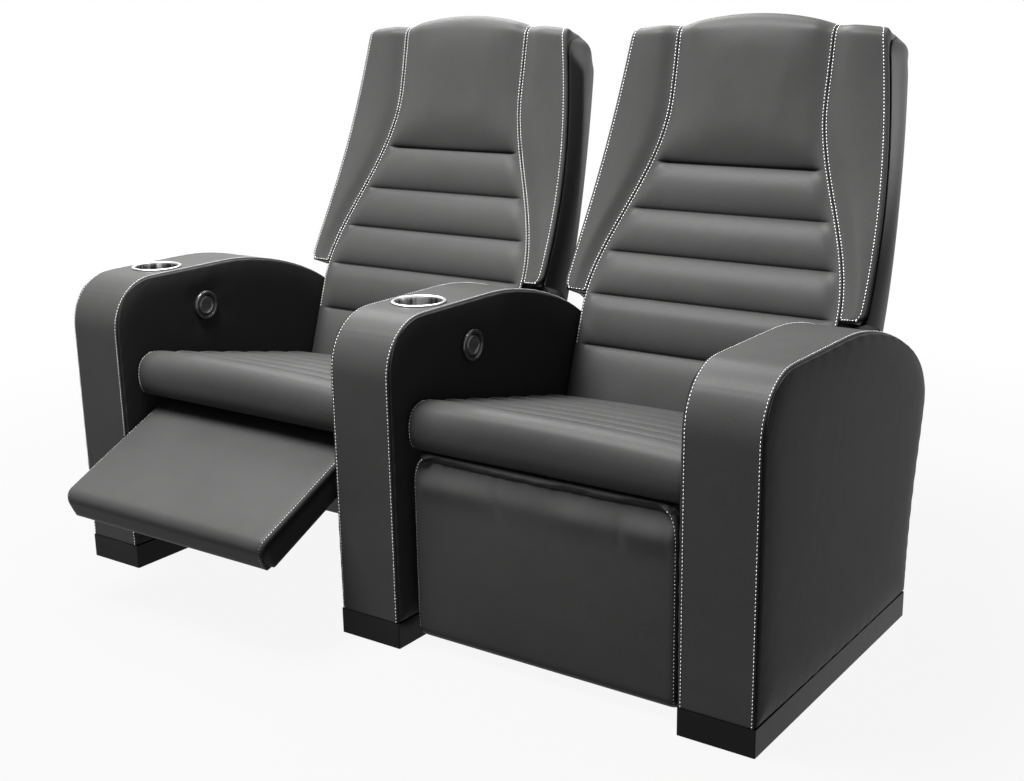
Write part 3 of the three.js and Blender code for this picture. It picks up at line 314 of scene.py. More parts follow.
finishes = {
    "leather": leatherFinish(leatherLook),
    "thread": threadFinish(),
    "darkThread": darkThreadFinish(),
    "plinth": plinthFinish(),
    "cup": cupFinish(),
    "zinc": steelFinish("zincPlate", 0.48, 0.30, (0.1, 1, 1)),
    "plastic": plasticFinish("mouldedPlastic", 0.012, 0.36, 0.0002),
    "glossPlastic": plasticFinish("glossPlastic", 0.030, 0.14, 0.00002, 0.9),
    # rocker plastic made lighter than the bezel's: painted highlight on the switch
    "rockerPlasticPaintedHighlight": plasticFinish("rockerPlasticPaintedHighlight", 0.085, 0.18, 0.00002, 0.9),
    "frameSteel": paintFinish(),
    "plywood": plywoodFinish(),
    "casting": castFinish(),
}
print("finishes made:", len(finishes))


# Tools shared by the pieces

def clearSelection():
    if bpy.context.object and bpy.context.object.mode != "OBJECT":
        bpy.ops.object.mode_set(mode="OBJECT")
    bpy.ops.object.select_all(action="DESELECT")


def workOn(piece):
    clearSelection()
    piece.select_set(True)
    bpy.context.view_layer.objects.active = piece


def applyModifier(piece, kind, **settings):
    workOn(piece)
    modifier = piece.modifiers.new("step", kind)
    for key, value in settings.items():
        setattr(modifier, key, value)
    bpy.ops.object.modifier_apply(modifier=modifier.name)


def editWhole():
    bpy.ops.object.mode_set(mode="EDIT")
    bpy.ops.mesh.select_all(action="SELECT")


# Turns all faces outwards and leaves edit mode
def closeEdit():
    bpy.ops.mesh.select_all(action="SELECT")
    bpy.ops.mesh.normals_make_consistent(inside=False)
    bpy.ops.object.mode_set(mode="OBJECT")


def wear(piece, finish):
    piece.data.materials.clear()
    piece.data.materials.append(finishes[finish])


def mix(first, second, share):
    return first + (second - first) * share


def clamp(value, low=0.0, high=1.0):
    return max(low, min(high, value))


def shareOf(value, low, high):
    return clamp((value - low) / (high - low))


def ease(value):
    value = clamp(value)
    return value * value * (3 - 2 * value)


# A quarter circle's fall, from 0 to 1
def roundFall(share):
    share = clamp(share)
    return 1 - math.sqrt(1 - share * share)


# 0 at both ends and 1 in the middle
def pillow(share):
    return 4 * share * (1 - share)


def fade(distance, reach):
    return math.exp(-distance / reach)


def bell(offset, width):
    return math.exp(-(offset / width) ** 2)


# A closed block of quads: a grid is drawn out in layers, and its points are then moved.
# place(i, j, k) gives a point's place and a painted-shade weight, high in and near seams, grooves
# and folds, that the leather finish darkens by.
def latticeBlock(name, size, place):
    columns, rows, layers = size
    clearSelection()
    bpy.ops.mesh.primitive_grid_add(x_subdivisions=columns, y_subdivisions=rows, size=1)
    piece = bpy.context.object
    piece.name = name
    piece.scale = (columns, rows, 1)
    bpy.ops.object.transform_apply(location=False, rotation=False, scale=True)
    editWhole()
    for _ in range(layers):
        bpy.ops.mesh.extrude_region_move(TRANSFORM_OT_translate={"value": (0, 0, -1)})
    bpy.ops.object.mode_set(mode="OBJECT")
    table = {}
    # the seam attribute holds painted shade for seams, grooves and folds, read by the leather
    # finish
    seams = piece.data.attributes.new("seam", "FLOAT", "POINT")
    for vertex in piece.data.vertices:
        x, y, z = vertex.co
        spot = (round(x + columns / 2), round(y + rows / 2), round(-z))
        table[spot] = vertex.index
        vertex.co, seams.data[vertex.index].value = place(*spot)
    workOn(piece)
    editWhole()
    closeEdit()
    bpy.ops.object.shade_smooth()
    return piece, table


# Cloth under pressure, sewn down at the held points. It is kept within reach of the cut shape.
def puff(piece, held, setup):
    group = piece.vertex_groups.new(name="held")
    group.add(held, 1.0, "REPLACE")
    before = [vertex.co.copy() for vertex in piece.data.vertices]
    workOn(piece)
    modifier = piece.modifiers.new("padding", "CLOTH")
    cloth = modifier.settings
    cloth.quality = 6
    cloth.mass = 0.25
    cloth.tension_stiffness = cloth.compression_stiffness = 18
    cloth.shear_stiffness = 8
    cloth.bending_stiffness = setup["stiffness"]
    cloth.vertex_group_mass = "held"
    cloth.use_pressure = True
    cloth.uniform_pressure_force = setup["pressure"]
    cloth.effector_weights.gravity = 0
    modifier.collision_settings.use_collision = False
    modifier.point_cache.frame_start = 1
    modifier.point_cache.frame_end = setup["frames"]
    for step in range(1, setup["frames"] + 1):
        bpy.context.scene.frame_set(step)
    bpy.ops.object.modifier_apply(modifier=modifier.name)
    bpy.context.scene.frame_set(1)
    for vertex, start in zip(piece.data.vertices, before):
        move = vertex.co - start
        if move.length > setup["reach"]:
            vertex.co = start + move * (setup["reach"] / move.length)
    piece.vertex_groups.clear()


def refine(piece, levels=1):
    applyModifier(piece, "SUBSURF", levels=levels, render_levels=levels)
    workOn(piece)
    bpy.ops.object.shade_smooth()


# A block that is puffed up, if it has a setup for that, and smoothed
def cutAndSew(name, size, place, isHeld=None, setup=None):
    piece, table = latticeBlock(name, size, place)
    if setup:
        puff(piece, [index for spot, index in table.items() if isHeld(*spot)], setup)
    refine(piece)
    return piece, table


# A copy with its own mesh, moved in its mesh
def shifted(piece, name, matrix):
    twin = piece.copy()
    twin.data = piece.data.copy()
    twin.name = name
    bpy.context.collection.objects.link(twin)
    twin.data.transform(matrix)
    if matrix.determinant() < 0:
        workOn(twin)
        editWhole()
        bpy.ops.mesh.flip_normals()
        bpy.ops.object.mode_set(mode="OBJECT")
    return twin


# Stitching: one stitch is modelled, repeated along a path and bent to it

stitchSizes = {
    "length": 4.6 * mm,
    "width": 1.9 * mm,
    "fineWidth": 1.45 * mm,
    "pitch": 6.4 * mm,
    "lift": 0.4 * mm,
}


def stitchPath(piece, table, spots):
    points = [piece.data.vertices[table[spot]] for spot in spots]
    return [point.co + point.normal * stitchSizes["lift"] for point in points]


def sewRun(points, finish="thread", width=stitchSizes["fineWidth"]):
    pitch = stitchSizes["pitch"]
    curve = bpy.data.curves.new("seamPath", "CURVE")
    curve.dimensions = "3D"
    spline = curve.splines.new("POLY")
    spline.points.add(len(points) - 1)
    for point, place in zip(spline.points, points):
        point.co = (*place, 1)
    path = bpy.data.objects.new("seamPath", curve)
    bpy.context.collection.objects.link(path)
    clearSelection()
    bpy.ops.mesh.primitive_ico_sphere_add(subdivisions=1, radius=0.5)
    stitch = bpy.context.object
    stitch.name = "seam"
    stitch.scale = (stitchSizes["length"], width, width)
    stitch.location = (pitch / 2, 0, 0)
    bpy.ops.object.transform_apply(location=True, rotation=False, scale=True)
    bpy.ops.object.shade_smooth()
    applyModifier(stitch, "ARRAY", fit_type="FIT_CURVE", curve=path, use_relative_offset=False,
                  use_constant_offset=True, constant_offset_displace=(pitch, 0, 0))
    applyModifier(stitch, "CURVE", object=path, deform_axis="POS_X")
    bpy.data.objects.remove(path)
    wear(stitch, finish)
    return stitch


def joined(name, pieces):
    clearSelection()
    for piece in pieces:
        piece.select_set(True)
    bpy.context.view_layer.objects.active = pieces[0]
    bpy.ops.object.join()
    pieces[0].name = name
    return pieces[0]


def dress(piece, finish, body, nodes=()):
    wear(piece, finish)
    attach(piece, body)
    if nodes:
        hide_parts(*nodes)


# Arms: a band over front, top and rear between two seams, and a padded panel on each side

armSizes = {
    "halfWidth": 71 * mm,
    "height": 600 * mm,
    "depth": 682 * mm,
    "footDepth": 633 * mm,
    "foot": 48 * mm,
    "frontRadius": 100 * mm,
    "topLength": 210 * mm,
    "footRise": 62 * mm,
    "shoulder": ((429.7 * mm, 600 * mm), (675.2 * mm, 529.8 * mm)),
    "rearHigh": 414 * mm,
    "hollow": ((671.8 * mm, 340.2 * mm), (636.3 * mm, 250.2 * mm)),
    "grid": (46, 40),
    "gridCorners": ((29.3 * mm, 570.7 * mm), (672 * mm, 470 * mm)),
    "gridPull": 0.115,  # draws the grid's lines together towards its edges
    "bandHalf": 65.5 * mm,
    "band": [1, 0.985, 0.968, 0.945, 0.90, 0.78, 0.58, 0.32, 0],  # shares of its half width
    # how far the band dips in its seams, and how much painted shade darkens them
    "bandSeamDipAndPaintedShade": {1: (1.9 * mm, 1.0), 0.985: (0.7 * mm, 0.55), 0.968: (0.15 * mm, 0.1)},
    "bandStitch": 0.945,
    "panelGap": 0.6 * mm,
    "panelTuck": 2.6 * mm,
    "panelRise": 7.2 * mm,  # side panels stand above their seam
    "panelSoft": 19 * mm,  # and reach that within about this distance
    "panelSwell": 2.0 * mm,
    "panelPaintedShadeReach": 3.5 * mm,
    "cup": {"y": 172 * mm, "hole": 46 * mm, "cut": 120 * mm, "below": 30 * mm},
    "switch": {"y": 233 * mm, "z": 516 * mm, "hole": 24.4 * mm, "cut": 30 * mm},
    "dent": {"depth": 5.0 * mm, "flat": 28 * mm, "reach": 17 * mm},
    "ripple": {"height": 1.2 * mm, "radius": 46 * mm, "width": 18 * mm, "start": 0.8},
}


def cubic(a, b, c, d, share):
    rest = 1 - share
    return tuple(rest ** 3 * p + 3 * rest * rest * share * q
                 + 3 * rest * share * share * r + share ** 3 * s for p, q, r, s in zip(a, b, c, d))


# Side outline from the foot's front over the top to the foot's rear, as close points
def armOutline(sizes):
    radius, top, foot = sizes["frontRadius"], sizes["height"], sizes["foot"]
    shoulderFrom, rearmost = (radius + sizes["topLength"], top), (sizes["depth"], sizes["rearHigh"])
    heel = (sizes["footDepth"], foot + sizes["footRise"])
    points = [(0.0, mix(foot, top - radius, k / 40)) for k in range(40)]
    for k in range(24):
        turn = math.pi / 2 * k / 24
        points.append((radius - radius * math.cos(turn), top - radius + radius * math.sin(turn)))
    points += [(mix(radius, shoulderFrom[0], k / 24), top) for k in range(24)]
    points += [cubic(shoulderFrom, *sizes["shoulder"], rearmost, k / 48) for k in range(48)]
    points += [cubic(rearmost, *sizes["hollow"], heel, k / 40) for k in range(40)]
    return points + [(heel[0], mix(heel[1], foot, k / 8)) for k in range(9)]


# count + 1 points spread evenly along an open line of points
def evenly(points, count):
    lengths = [0.0]
    for a, b in zip(points, points[1:]):
        lengths.append(lengths[-1] + math.dist(a, b))
    spaced, at = [], 0
    for k in range(count + 1):
        goal = lengths[-1] * k / count
        while at < len(points) - 2 and lengths[at + 1] < goal:
            at += 1
        run = lengths[at + 1] - lengths[at]
        share = clamp((goal - lengths[at]) / run) if run else 0
        spaced.append(tuple(mix(p, q, share) for p, q in zip(points[at], points[at + 1])))
    return spaced


class ArmShape:
    def __init__(self, sizes):
        outline = armOutline(sizes)
        cornerA, cornerB = (min(range(len(outline)), key=lambda k: math.dist(outline[k], corner))
                            for corner in sizes["gridCorners"])
        self.pull = sizes["gridPull"]
        self.columns, self.rows = sizes["grid"]
        self.front = evenly(outline[:cornerA + 1], self.rows)
        self.top = evenly(outline[cornerA:cornerB + 1], self.columns)
        self.rear = evenly(outline[cornerB:][::-1], self.rows)
        self.bottom = evenly([outline[0], outline[-1]], self.columns)
        self.stations = [-share for share in sizes["band"]] + sizes["band"][-2::-1]
        self.layers = len(self.stations) + 1

    def tight(self, share):
        return share - self.pull * math.sin(2 * math.pi * share)

    def along(self, line, share):
        place = share * (len(line) - 1)
        low = min(int(place), len(line) - 2)
        return [mix(p, q, place - low) for p, q in zip(line[low], line[low + 1])]

    # Point of the side panel's patch between the four stretches of the outline
    def flat(self, i, j):
        s, t = self.tight(i / self.columns), self.tight(j / self.rows)
        bottom, top = self.along(self.bottom, s), self.along(self.top, s)
        front, rear = self.along(self.front, t), self.along(self.rear, t)
        point = []
        for axis in (0, 1):
            a, b, c, d = (line[end][axis] for line in (self.bottom, self.top) for end in (0, -1))
            ruled = mix(bottom[axis], top[axis], t) + mix(front[axis], rear[axis], s)
            point.append(ruled - mix(mix(a, b, s), mix(c, d, s), t))
        return point


# Outward normals of the arm's outline at its lattice points
def outlineNormals(shape):
    columns, rows = shape.columns, shape.rows
    ring = [(0, j) for j in range(rows)] + [(i, rows) for i in range(columns)]
    ring += [(columns, j) for j in range(rows, 0, -1)] + [(i, 0) for i in range(columns, 0, -1)]
    normals = {}
    for k, spot in enumerate(ring):
        before, after = shape.flat(*ring[k - 1]), shape.flat(*ring[(k + 1) % len(ring)])
        run = Vector((after[0] - before[0], after[1] - before[1])).normalized()
        normals[spot] = Vector((-run.y, run.x))
    return normals, ring


# How far the cover is drawn in round the switch, less the ripple round that dent
def dentDepth(y, z):
    switch, dent, ripple = (armSizes[key] for key in ("switch", "dent", "ripple"))
    span = math.hypot(y - switch["y"], z - switch["z"])
    turn = math.atan2(z - switch["z"], y - switch["y"])
    wave = bell(span - ripple["radius"], ripple["width"]) * math.sin(4 * turn + ripple["start"])
    depth = dent["depth"] * fade(max(0.0, span - dent["flat"]), dent["reach"])
    return depth - ripple["height"] * wave


def buildArm(name, centreX, hasControls):
    sizes, frontY = armSizes, rowSizes["frontY"]
    shape = ArmShape(sizes)
    normals, ring = outlineNormals(shape)
    outline = [Vector(shape.flat(*spot)) for spot in ring[::2]]

    def place(i, j, k):
        y, z = shape.flat(i, j)
        normal = normals.get((i, j))
        if 0 < k < shape.layers:
            share = shape.stations[k - 1]
            # the band's seams dip and also get painted shade
            dip, seam = sizes["bandSeamDipAndPaintedShade"].get(abs(share), (0.0, 0.0))
            x = centreX + share * sizes["bandHalf"]
            return (x, y - normal.x * dip + frontY, z - normal.y * dip), seam
        side = -1 if k == 0 else 1
        distance = 0.0 if normal else min((Vector((y, z)) - point).length for point in outline)
        rise = sizes["panelRise"] * (1 - fade(distance, sizes["panelSoft"]))
        rise += sizes["panelSwell"] * pillow(i / shape.columns) * pillow(j / shape.rows)
        x = sizes["bandHalf"] + sizes["panelGap"] + rise
        if normal:
            y, z = y - normal.x * sizes["panelTuck"], z - normal.y * sizes["panelTuck"]
        if hasControls and side > 0:
            x -= dentDepth(y, z)
        # painted shade along the panel's edge, where it meets the band
        return (centreX + side * x, y + frontY, z), fade(distance, sizes["panelPaintedShadeReach"])

    arm, table = cutAndSew(name + "_cover", (shape.columns, shape.rows, shape.layers), place)
    spots = [spot for spot in ring if spot[1] > 0 or spot[0] in (0, shape.columns)]
    start = spots.index((0, 0))
    spots = spots[start:] + spots[:start]
    runs = []
    for side in (-1, 1):
        k = shape.stations.index(side * sizes["bandStitch"]) + 1
        runs.append(sewRun(stitchPath(arm, table, [(i, j, k) for i, j in spots])))
    if hasControls:
        cup, switch = sizes["cup"], sizes["switch"]
        cupPlace = (centreX, frontY + cup["y"], sizes["height"] - cup["below"])
        cutHole(arm, cupPlace, cup, (0, 0, 0))
        switchPlace = (centreX + sizes["halfWidth"], frontY + switch["y"], switch["z"])
        cutHole(arm, switchPlace, switch, (0, math.pi / 2, 0))
    stitches = joined(name + "_stitching", runs)
    dress(arm, "leather", "base", [name])
    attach(stitches, "base")


def cutHole(piece, centre, cut, turn):
    clearSelection()
    bpy.ops.mesh.primitive_cylinder_add(vertices=64, radius=cut["hole"], depth=cut["cut"],
                                        location=centre, rotation=turn)
    tool = bpy.context.object
    applyModifier(piece, "BOOLEAN", operation="DIFFERENCE", object=tool, solver="EXACT")
    bpy.data.objects.remove(tool)


buildArm("left_arm", -rowSizes["seatPitch"], True)
buildArm("center_arm", 0.0, True)
buildArm("right_arm", rowSizes["seatPitch"], False)
print("arms upholstered")


# Backs: heights run up along the back from the seat line, depths run back from its face

backSizes = {
    "pivot": (0.250, 0.300),
    "tilt": 19,
    "pivotBelowSeat": 44 * mm,
    "pivotBehindFace": 48 * mm,
    "bottom": -20 * mm,
    "edgeTop": 761 * mm,
    "wingRise": 7 * mm,  # top of the seams above the outer corners
    "crown": 23 * mm,  # middle of the top above the seams
    "cornerRadius": 14 * mm,
    "topRound": 34 * mm,
    "topRoundHeight": 26 * mm,
    "hollow": 36 * mm,
    "hollowFrom": 180 * mm,
    "hollowLength": 640 * mm,
    "lowerHalf": 272 * mm,
    "wingBottom": 208 * mm,
    "wingBottomHalf": 324 * mm,
    "wingTopHalf": 268 * mm,
    "padTopHalf": 164 * mm,
    "padSpread": (620 * mm, 200 * mm),
    "seams": (102 * mm, 207 * mm, 299 * mm, 392 * mm, 490 * mm),
    "grooveDepth": 16 * mm,
    "meetDepth": 78 * mm,
    "seamDepth": 7 * mm,  # seams between pad and wings, behind the face
    "shellDepth": 128 * mm,
    "shellGain": 20 * mm,
}


def backMatrix(seatX):
    sizes = backSizes
    pivot = Matrix.Translation((seatX, *sizes["pivot"]))
    tilt = Matrix.Rotation(-math.radians(sizes["tilt"]), 4, "X")
    face = Matrix.Translation((0, -sizes["pivotBehindFace"], sizes["pivotBelowSeat"]))
    return pivot @ tilt @ face


def faceDepth(height):
    share = (height - backSizes["hollowFrom"]) / backSizes["hollowLength"]
    return backSizes["hollow"] * math.sin(math.pi * share) if 0 < share < 1 else 0.0


def outerHalf(height):
    sizes = backSizes
    low, high, radius = sizes["wingBottomHalf"], sizes["wingTopHalf"], sizes["cornerRadius"]
    share = shareOf(height, sizes["wingBottom"], sizes["edgeTop"])
    corner = radius * roundFall((height - (sizes["edgeTop"] - radius)) / radius)
    return low - (low - high) * share ** 1.6 - corner


def padHalf(height):
    high, low = backSizes["padSpread"]
    share = ease((high - height) / (high - low))
    return mix(backSizes["padTopHalf"], backSizes["lowerHalf"], share)


def crowned(height, x):
    sizes = backSizes
    rise = shareOf(height, sizes["padSpread"][0], sizes["edgeTop"])
    wing, pad = sizes["wingTopHalf"], sizes["padTopHalf"]
    inPad = 1 - (x / pad) ** 2
    onWing = max(0.0, (wing - abs(x)) / (wing - pad))
    lift = sizes["wingRise"] + sizes["crown"] * inPad if inPad > 0 else sizes["wingRise"] * onWing
    return height + rise * rise * lift


# Heights and depths of the rounded top, from the face over to the top
def topStations(sizes, count=8):
    rise, depth = sizes["topRoundHeight"], sizes["topRound"]
    turns = [math.pi / 2 * (k / count) for k in range(1, count + 1)]
    start = sizes["edgeTop"] - rise
    return [(start + rise * math.sin(turn), depth * (1 - math.cos(turn))) for turn in turns]


seamCut = {
    "groove": 1.3 * mm,
    "grooveReach": 0.6 * mm,
    "band": 5 * mm,
    "rise": 34 * mm,
    # reach of the painted shade along the seams between pad and wings
    "shade": 0.5 * mm,
}


# How far a panel lies back near its seam: a narrow groove, a flat band for stitches, then padding
def seamDrop(distance, depth):
    groove = seamCut["groove"] * fade(distance, seamCut["grooveReach"])
    return groove + depth * (1 - ease((distance - seamCut["band"]) / seamCut["rise"]))


def channelDepth(share):  # 1 in the seams at both ends, 0 on the crest between them
    return 1 - pillow(share) ** 0.6


padCut = {
    "edge": [0.0, 0.6 * mm, 1.5 * mm, 3.6 * mm, 6.5 * mm, 11 * mm, 17 * mm, 24 * mm, 33 * mm],
    "inner": 34,
    "channelRows": [0, 0.02, 0.05, 0.10, 0.17, 0.26, 0.37, 0.5, 0.63, 0.74, 0.83, 0.90, 0.95, 0.98],
    "headrestRows": [0, 0.008, 0.02, 0.04, 0.07, 0.11, 0.16, 0.22,
                     0.30, 0.39, 0.48, 0.57, 0.66, 0.75, 0.84, 0.92],
    "headrestFold": 72 * mm,
    "headrestDepth": 1.5,  # how much deeper its seam is than the others
    "grooveStart": 9 * mm,  # grooves begin this far inside the edge and deepen over the next length
    "grooveGrowth": 24 * mm,
    "layers": 3,
    "puff": {"pressure": 1.2, "stiffness": 5.0, "frames": 16, "reach": 6 * mm},
}


def padRows():
    sizes, rows = backSizes, []
    edges = [sizes["bottom"], *sizes["seams"], sizes["edgeTop"] - sizes["topRoundHeight"]]
    for low, high in zip(edges, edges[1:]):
        shares = padCut["headrestRows" if high == edges[-1] else "channelRows"]
        rows += [(mix(low, high, share), 0.0) for share in shares]
    return rows + [(edges[-1], 0.0)] + topStations(sizes)


# How far the sewn channels lie below their crests, as a share of the groove's depth
def channelDip(height):
    edges = [backSizes["bottom"], *backSizes["seams"]]
    if height >= edges[-1]:
        share = min(1.0, (height - edges[-1]) / padCut["headrestFold"])
        return padCut["headrestDepth"] * (1 - math.sqrt(share * (2 - share)))
    low, high = next(pair for pair in zip(edges, edges[1:]) if height < pair[1])
    share = (height - low) / (high - low)
    return 0.0 if low == edges[0] and share < 0.5 else channelDepth(share)


# Places across a piece, from one side to the other, closer together near its edges
def edgeColumns(half, cut):
    side = [half - distance for distance in cut["edge"][:-1]]
    inner = half - cut["edge"][-1]
    middle = [mix(-inner, inner, k / cut["inner"]) for k in range(cut["inner"] + 1)]
    return [-x for x in side] + middle + side[::-1]


def columnCount(cut):
    return 2 * (len(cut["edge"]) - 1) + cut["inner"]


def buildMiddlePad():
    sizes, cut = backSizes, padCut
    rows, columns = padRows(), columnCount(padCut)
    last = len(rows) - 1

    def place(i, j, k):
        height, rounding = rows[j]
        half = padHalf(height)
        x = edgeColumns(half, cut)[i]
        distance = half - abs(x)
        inPad = ease((distance - cut["grooveStart"]) / cut["grooveGrowth"])
        dip = channelDip(height) * sizes["grooveDepth"] * inPad
        front = faceDepth(height) + seamDrop(distance, sizes["seamDepth"]) + dip + rounding
        # painted shade along the pad's seams and in the channel grooves
        seam = max(fade(distance, seamCut["shade"]), clamp(channelDip(height) - 0.8) * 1.5 * inPad)
        depth = mix(front, sizes["meetDepth"], k / cut["layers"])
        return (x, depth, crowned(height, x)), 0.0 if k else seam

    def isHeld(i, j, k):
        return k > 0 or min(i, columns - i) <= 4 or channelDip(rows[j][0]) > 0.97 or j in (0, last)

    pad, table = cutAndSew("middlePad", (columns, last, cut["layers"]), place, isHeld, cut["puff"])
    first = next(j for j, row in enumerate(rows) if row[0] >= sizes["seams"][0])
    return pad, [stitchPath(pad, table, [(i, j, 0) for j in range(first, last)])
                 for i in (3, columns - 3)]


wingCut = {
    "inner": [0.0, 0.6 * mm, 1.5 * mm, 3.6 * mm, 6.5 * mm, 11 * mm, 17 * mm, 24 * mm],
    "outer": [20 * mm, 13 * mm, 9 * mm, 6 * mm, 3.4 * mm, 1.2 * mm, 0.0],
    "middle": 8,
    "footRows": [(0.0, 4.0 * mm), (1.2 * mm, 1.6 * mm), (3.6 * mm, 0.3 * mm), (7 * mm, 0.0),
                 (12 * mm, 0.0)],  # height over the wing's bottom, and how far the edge falls back
    "rowsFrom": 18 * mm,
    "rowPitch": 11 * mm,
    "bulge": 4 * mm,
    "outerRound": 9 * mm,
    "outerFall": 6 * mm,
    "outerPaintedShadeReach": 1.2 * mm,
    "depth": 40 * mm,
    "seamGap": 0.4 * mm,
    "footRadius": 22 * mm,
    "fullTop": 40 * mm,  # over this height the wing reaches back to the shell's own meeting depth
    "thinnest": 12 * mm,
    "rearInset": (1 * mm, 4 * mm),
    "puff": {"pressure": 1.2, "stiffness": 4.0, "frames": 14, "reach": 5 * mm},
}


def wingRows():
    sizes, cut = backSizes, wingCut
    low, high = sizes["wingBottom"], sizes["edgeTop"] - sizes["topRoundHeight"]
    count = round((high - low) / cut["rowPitch"])
    rows = [(low + rise, fall) for rise, fall in cut["footRows"]]
    rows += [(mix(low + cut["rowsFrom"], high, k / count), 0.0) for k in range(count + 1)]
    return rows + topStations(sizes)


def wingColumns(inner, outer):
    left = [inner + distance for distance in wingCut["inner"]]
    right = [outer - distance for distance in wingCut["outer"]]
    count = wingCut["middle"]
    return left + [mix(left[-1], right[0], k / count) for k in range(1, count)] + right


# The wing on the high x side of a back; the other one is its mirror image
def buildWing():
    sizes, cut = backSizes, wingCut
    rows, columns = wingRows(), len(wingColumns(0, 1)) - 1
    last = len(rows) - 1

    def place(i, j, k):
        height, rounding = rows[j]
        inner = padHalf(height) + cut["seamGap"]
        foot = clamp((cut["footRadius"] - (height - sizes["wingBottom"])) / cut["footRadius"])
        outer = outerHalf(height) - cut["footRadius"] * 0.9 * roundFall(foot)
        x = wingColumns(inner, outer)[i]
        fromInner, fromOuter = x - inner, outer - x
        drop = seamDrop(fromInner, sizes["seamDepth"])
        drop += cut["outerFall"] * roundFall(1 - fromOuter / cut["outerRound"])
        swell = math.sin(math.pi * (fromInner / (outer - inner))) ** 1.5
        front = faceDepth(height) - cut["bulge"] * swell + drop + rounding
        if k == 0:
            # painted shade along the wing's inner and outer seams
            seam = max(fade(fromInner, seamCut["shade"]), fade(fromOuter, cut["outerPaintedShadeReach"]))
            return (x, front, crowned(height, x)), seam
        x = clamp(x, inner + cut["rearInset"][0], outer - cut["rearInset"][1])
        rear = max(cut["depth"], front + cut["thinnest"])
        if height > sizes["edgeTop"] - cut["fullTop"]:
            rear = sizes["meetDepth"]
        return (x, mix(front, rear, k / 2), crowned(height, x)), 0.0

    def isHeld(i, j, k):
        return k > 0 or i <= 4 or i >= columns - 4 or j <= 2 or j == last

    wing, table = cutAndSew("wing", (columns, last, 2), place, isHeld, cut["puff"])
    return wing, [stitchPath(wing, table, spots) for spots in (
        [(3, j, 0) for j in range(2, last)],
        [(columns - 4, j, 0) for j in range(2, last + 1)],
        [(i, 2, 0) for i in range(3, columns - 3)])]


shellCut = {
    "edge": [0.0, 2 * mm, 6 * mm, 12 * mm, 20 * mm],
    "inner": 32,
    "rowPitch": 17 * mm,
    "layers": 7,
    "drawIn": 8 * mm,
    "cornerRadius": 20 * mm,
    "cornerDepth": 0.62,  # share of a corner's depth that is rounded away
    "rim": 7 * mm,
    "rimTop": (34 * mm, 30 * mm),  # the rim goes back from this far below the top, over this height
    "rimInset": 1.5 * mm,
    "rimWidth": 3.2 * mm,
    "rimStand": 0.5 * mm,
    "insideReach": 60 * mm,
    "insideDepth": 14 * mm,
    "ledgeDrop": 26 * mm,
    "ledgeReach": 56 * mm,
    "rearSwell": 5 * mm,
    "sideSwell": 13 * mm,
    "cornerSink": 42 * mm,  # the top rear corners lie lower than the rest of the top
    "cornerHeight": 70 * mm,
    "cornerShare": (0.55, 0.45),  # from this share of the half width, over the next
}


def shellRows():
    sizes, cut = backSizes, shellCut
    low, ledge = sizes["bottom"], sizes["wingBottom"]
    high = sizes["edgeTop"] - sizes["topRoundHeight"]
    below, above = (round(height / cut["rowPitch"]) for height in (ledge - low, high - ledge))
    rows = [(mix(low, ledge - 3 * mm, k / below), 0) for k in range(below + 1)]
    rows[1:1] = [(low + 3 * mm, 0), (low + 8 * mm, 0)]
    rows += [(ledge - 1 * mm, 0), (ledge, 1), (ledge + 2 * mm, 1), (ledge + 6 * mm, 1)]
    rows += [(mix(ledge, high, k / above), 1) for k in range(1, above + 1)]
    return rows + [(height, 1) for height, depth in topStations(sizes, 7)]


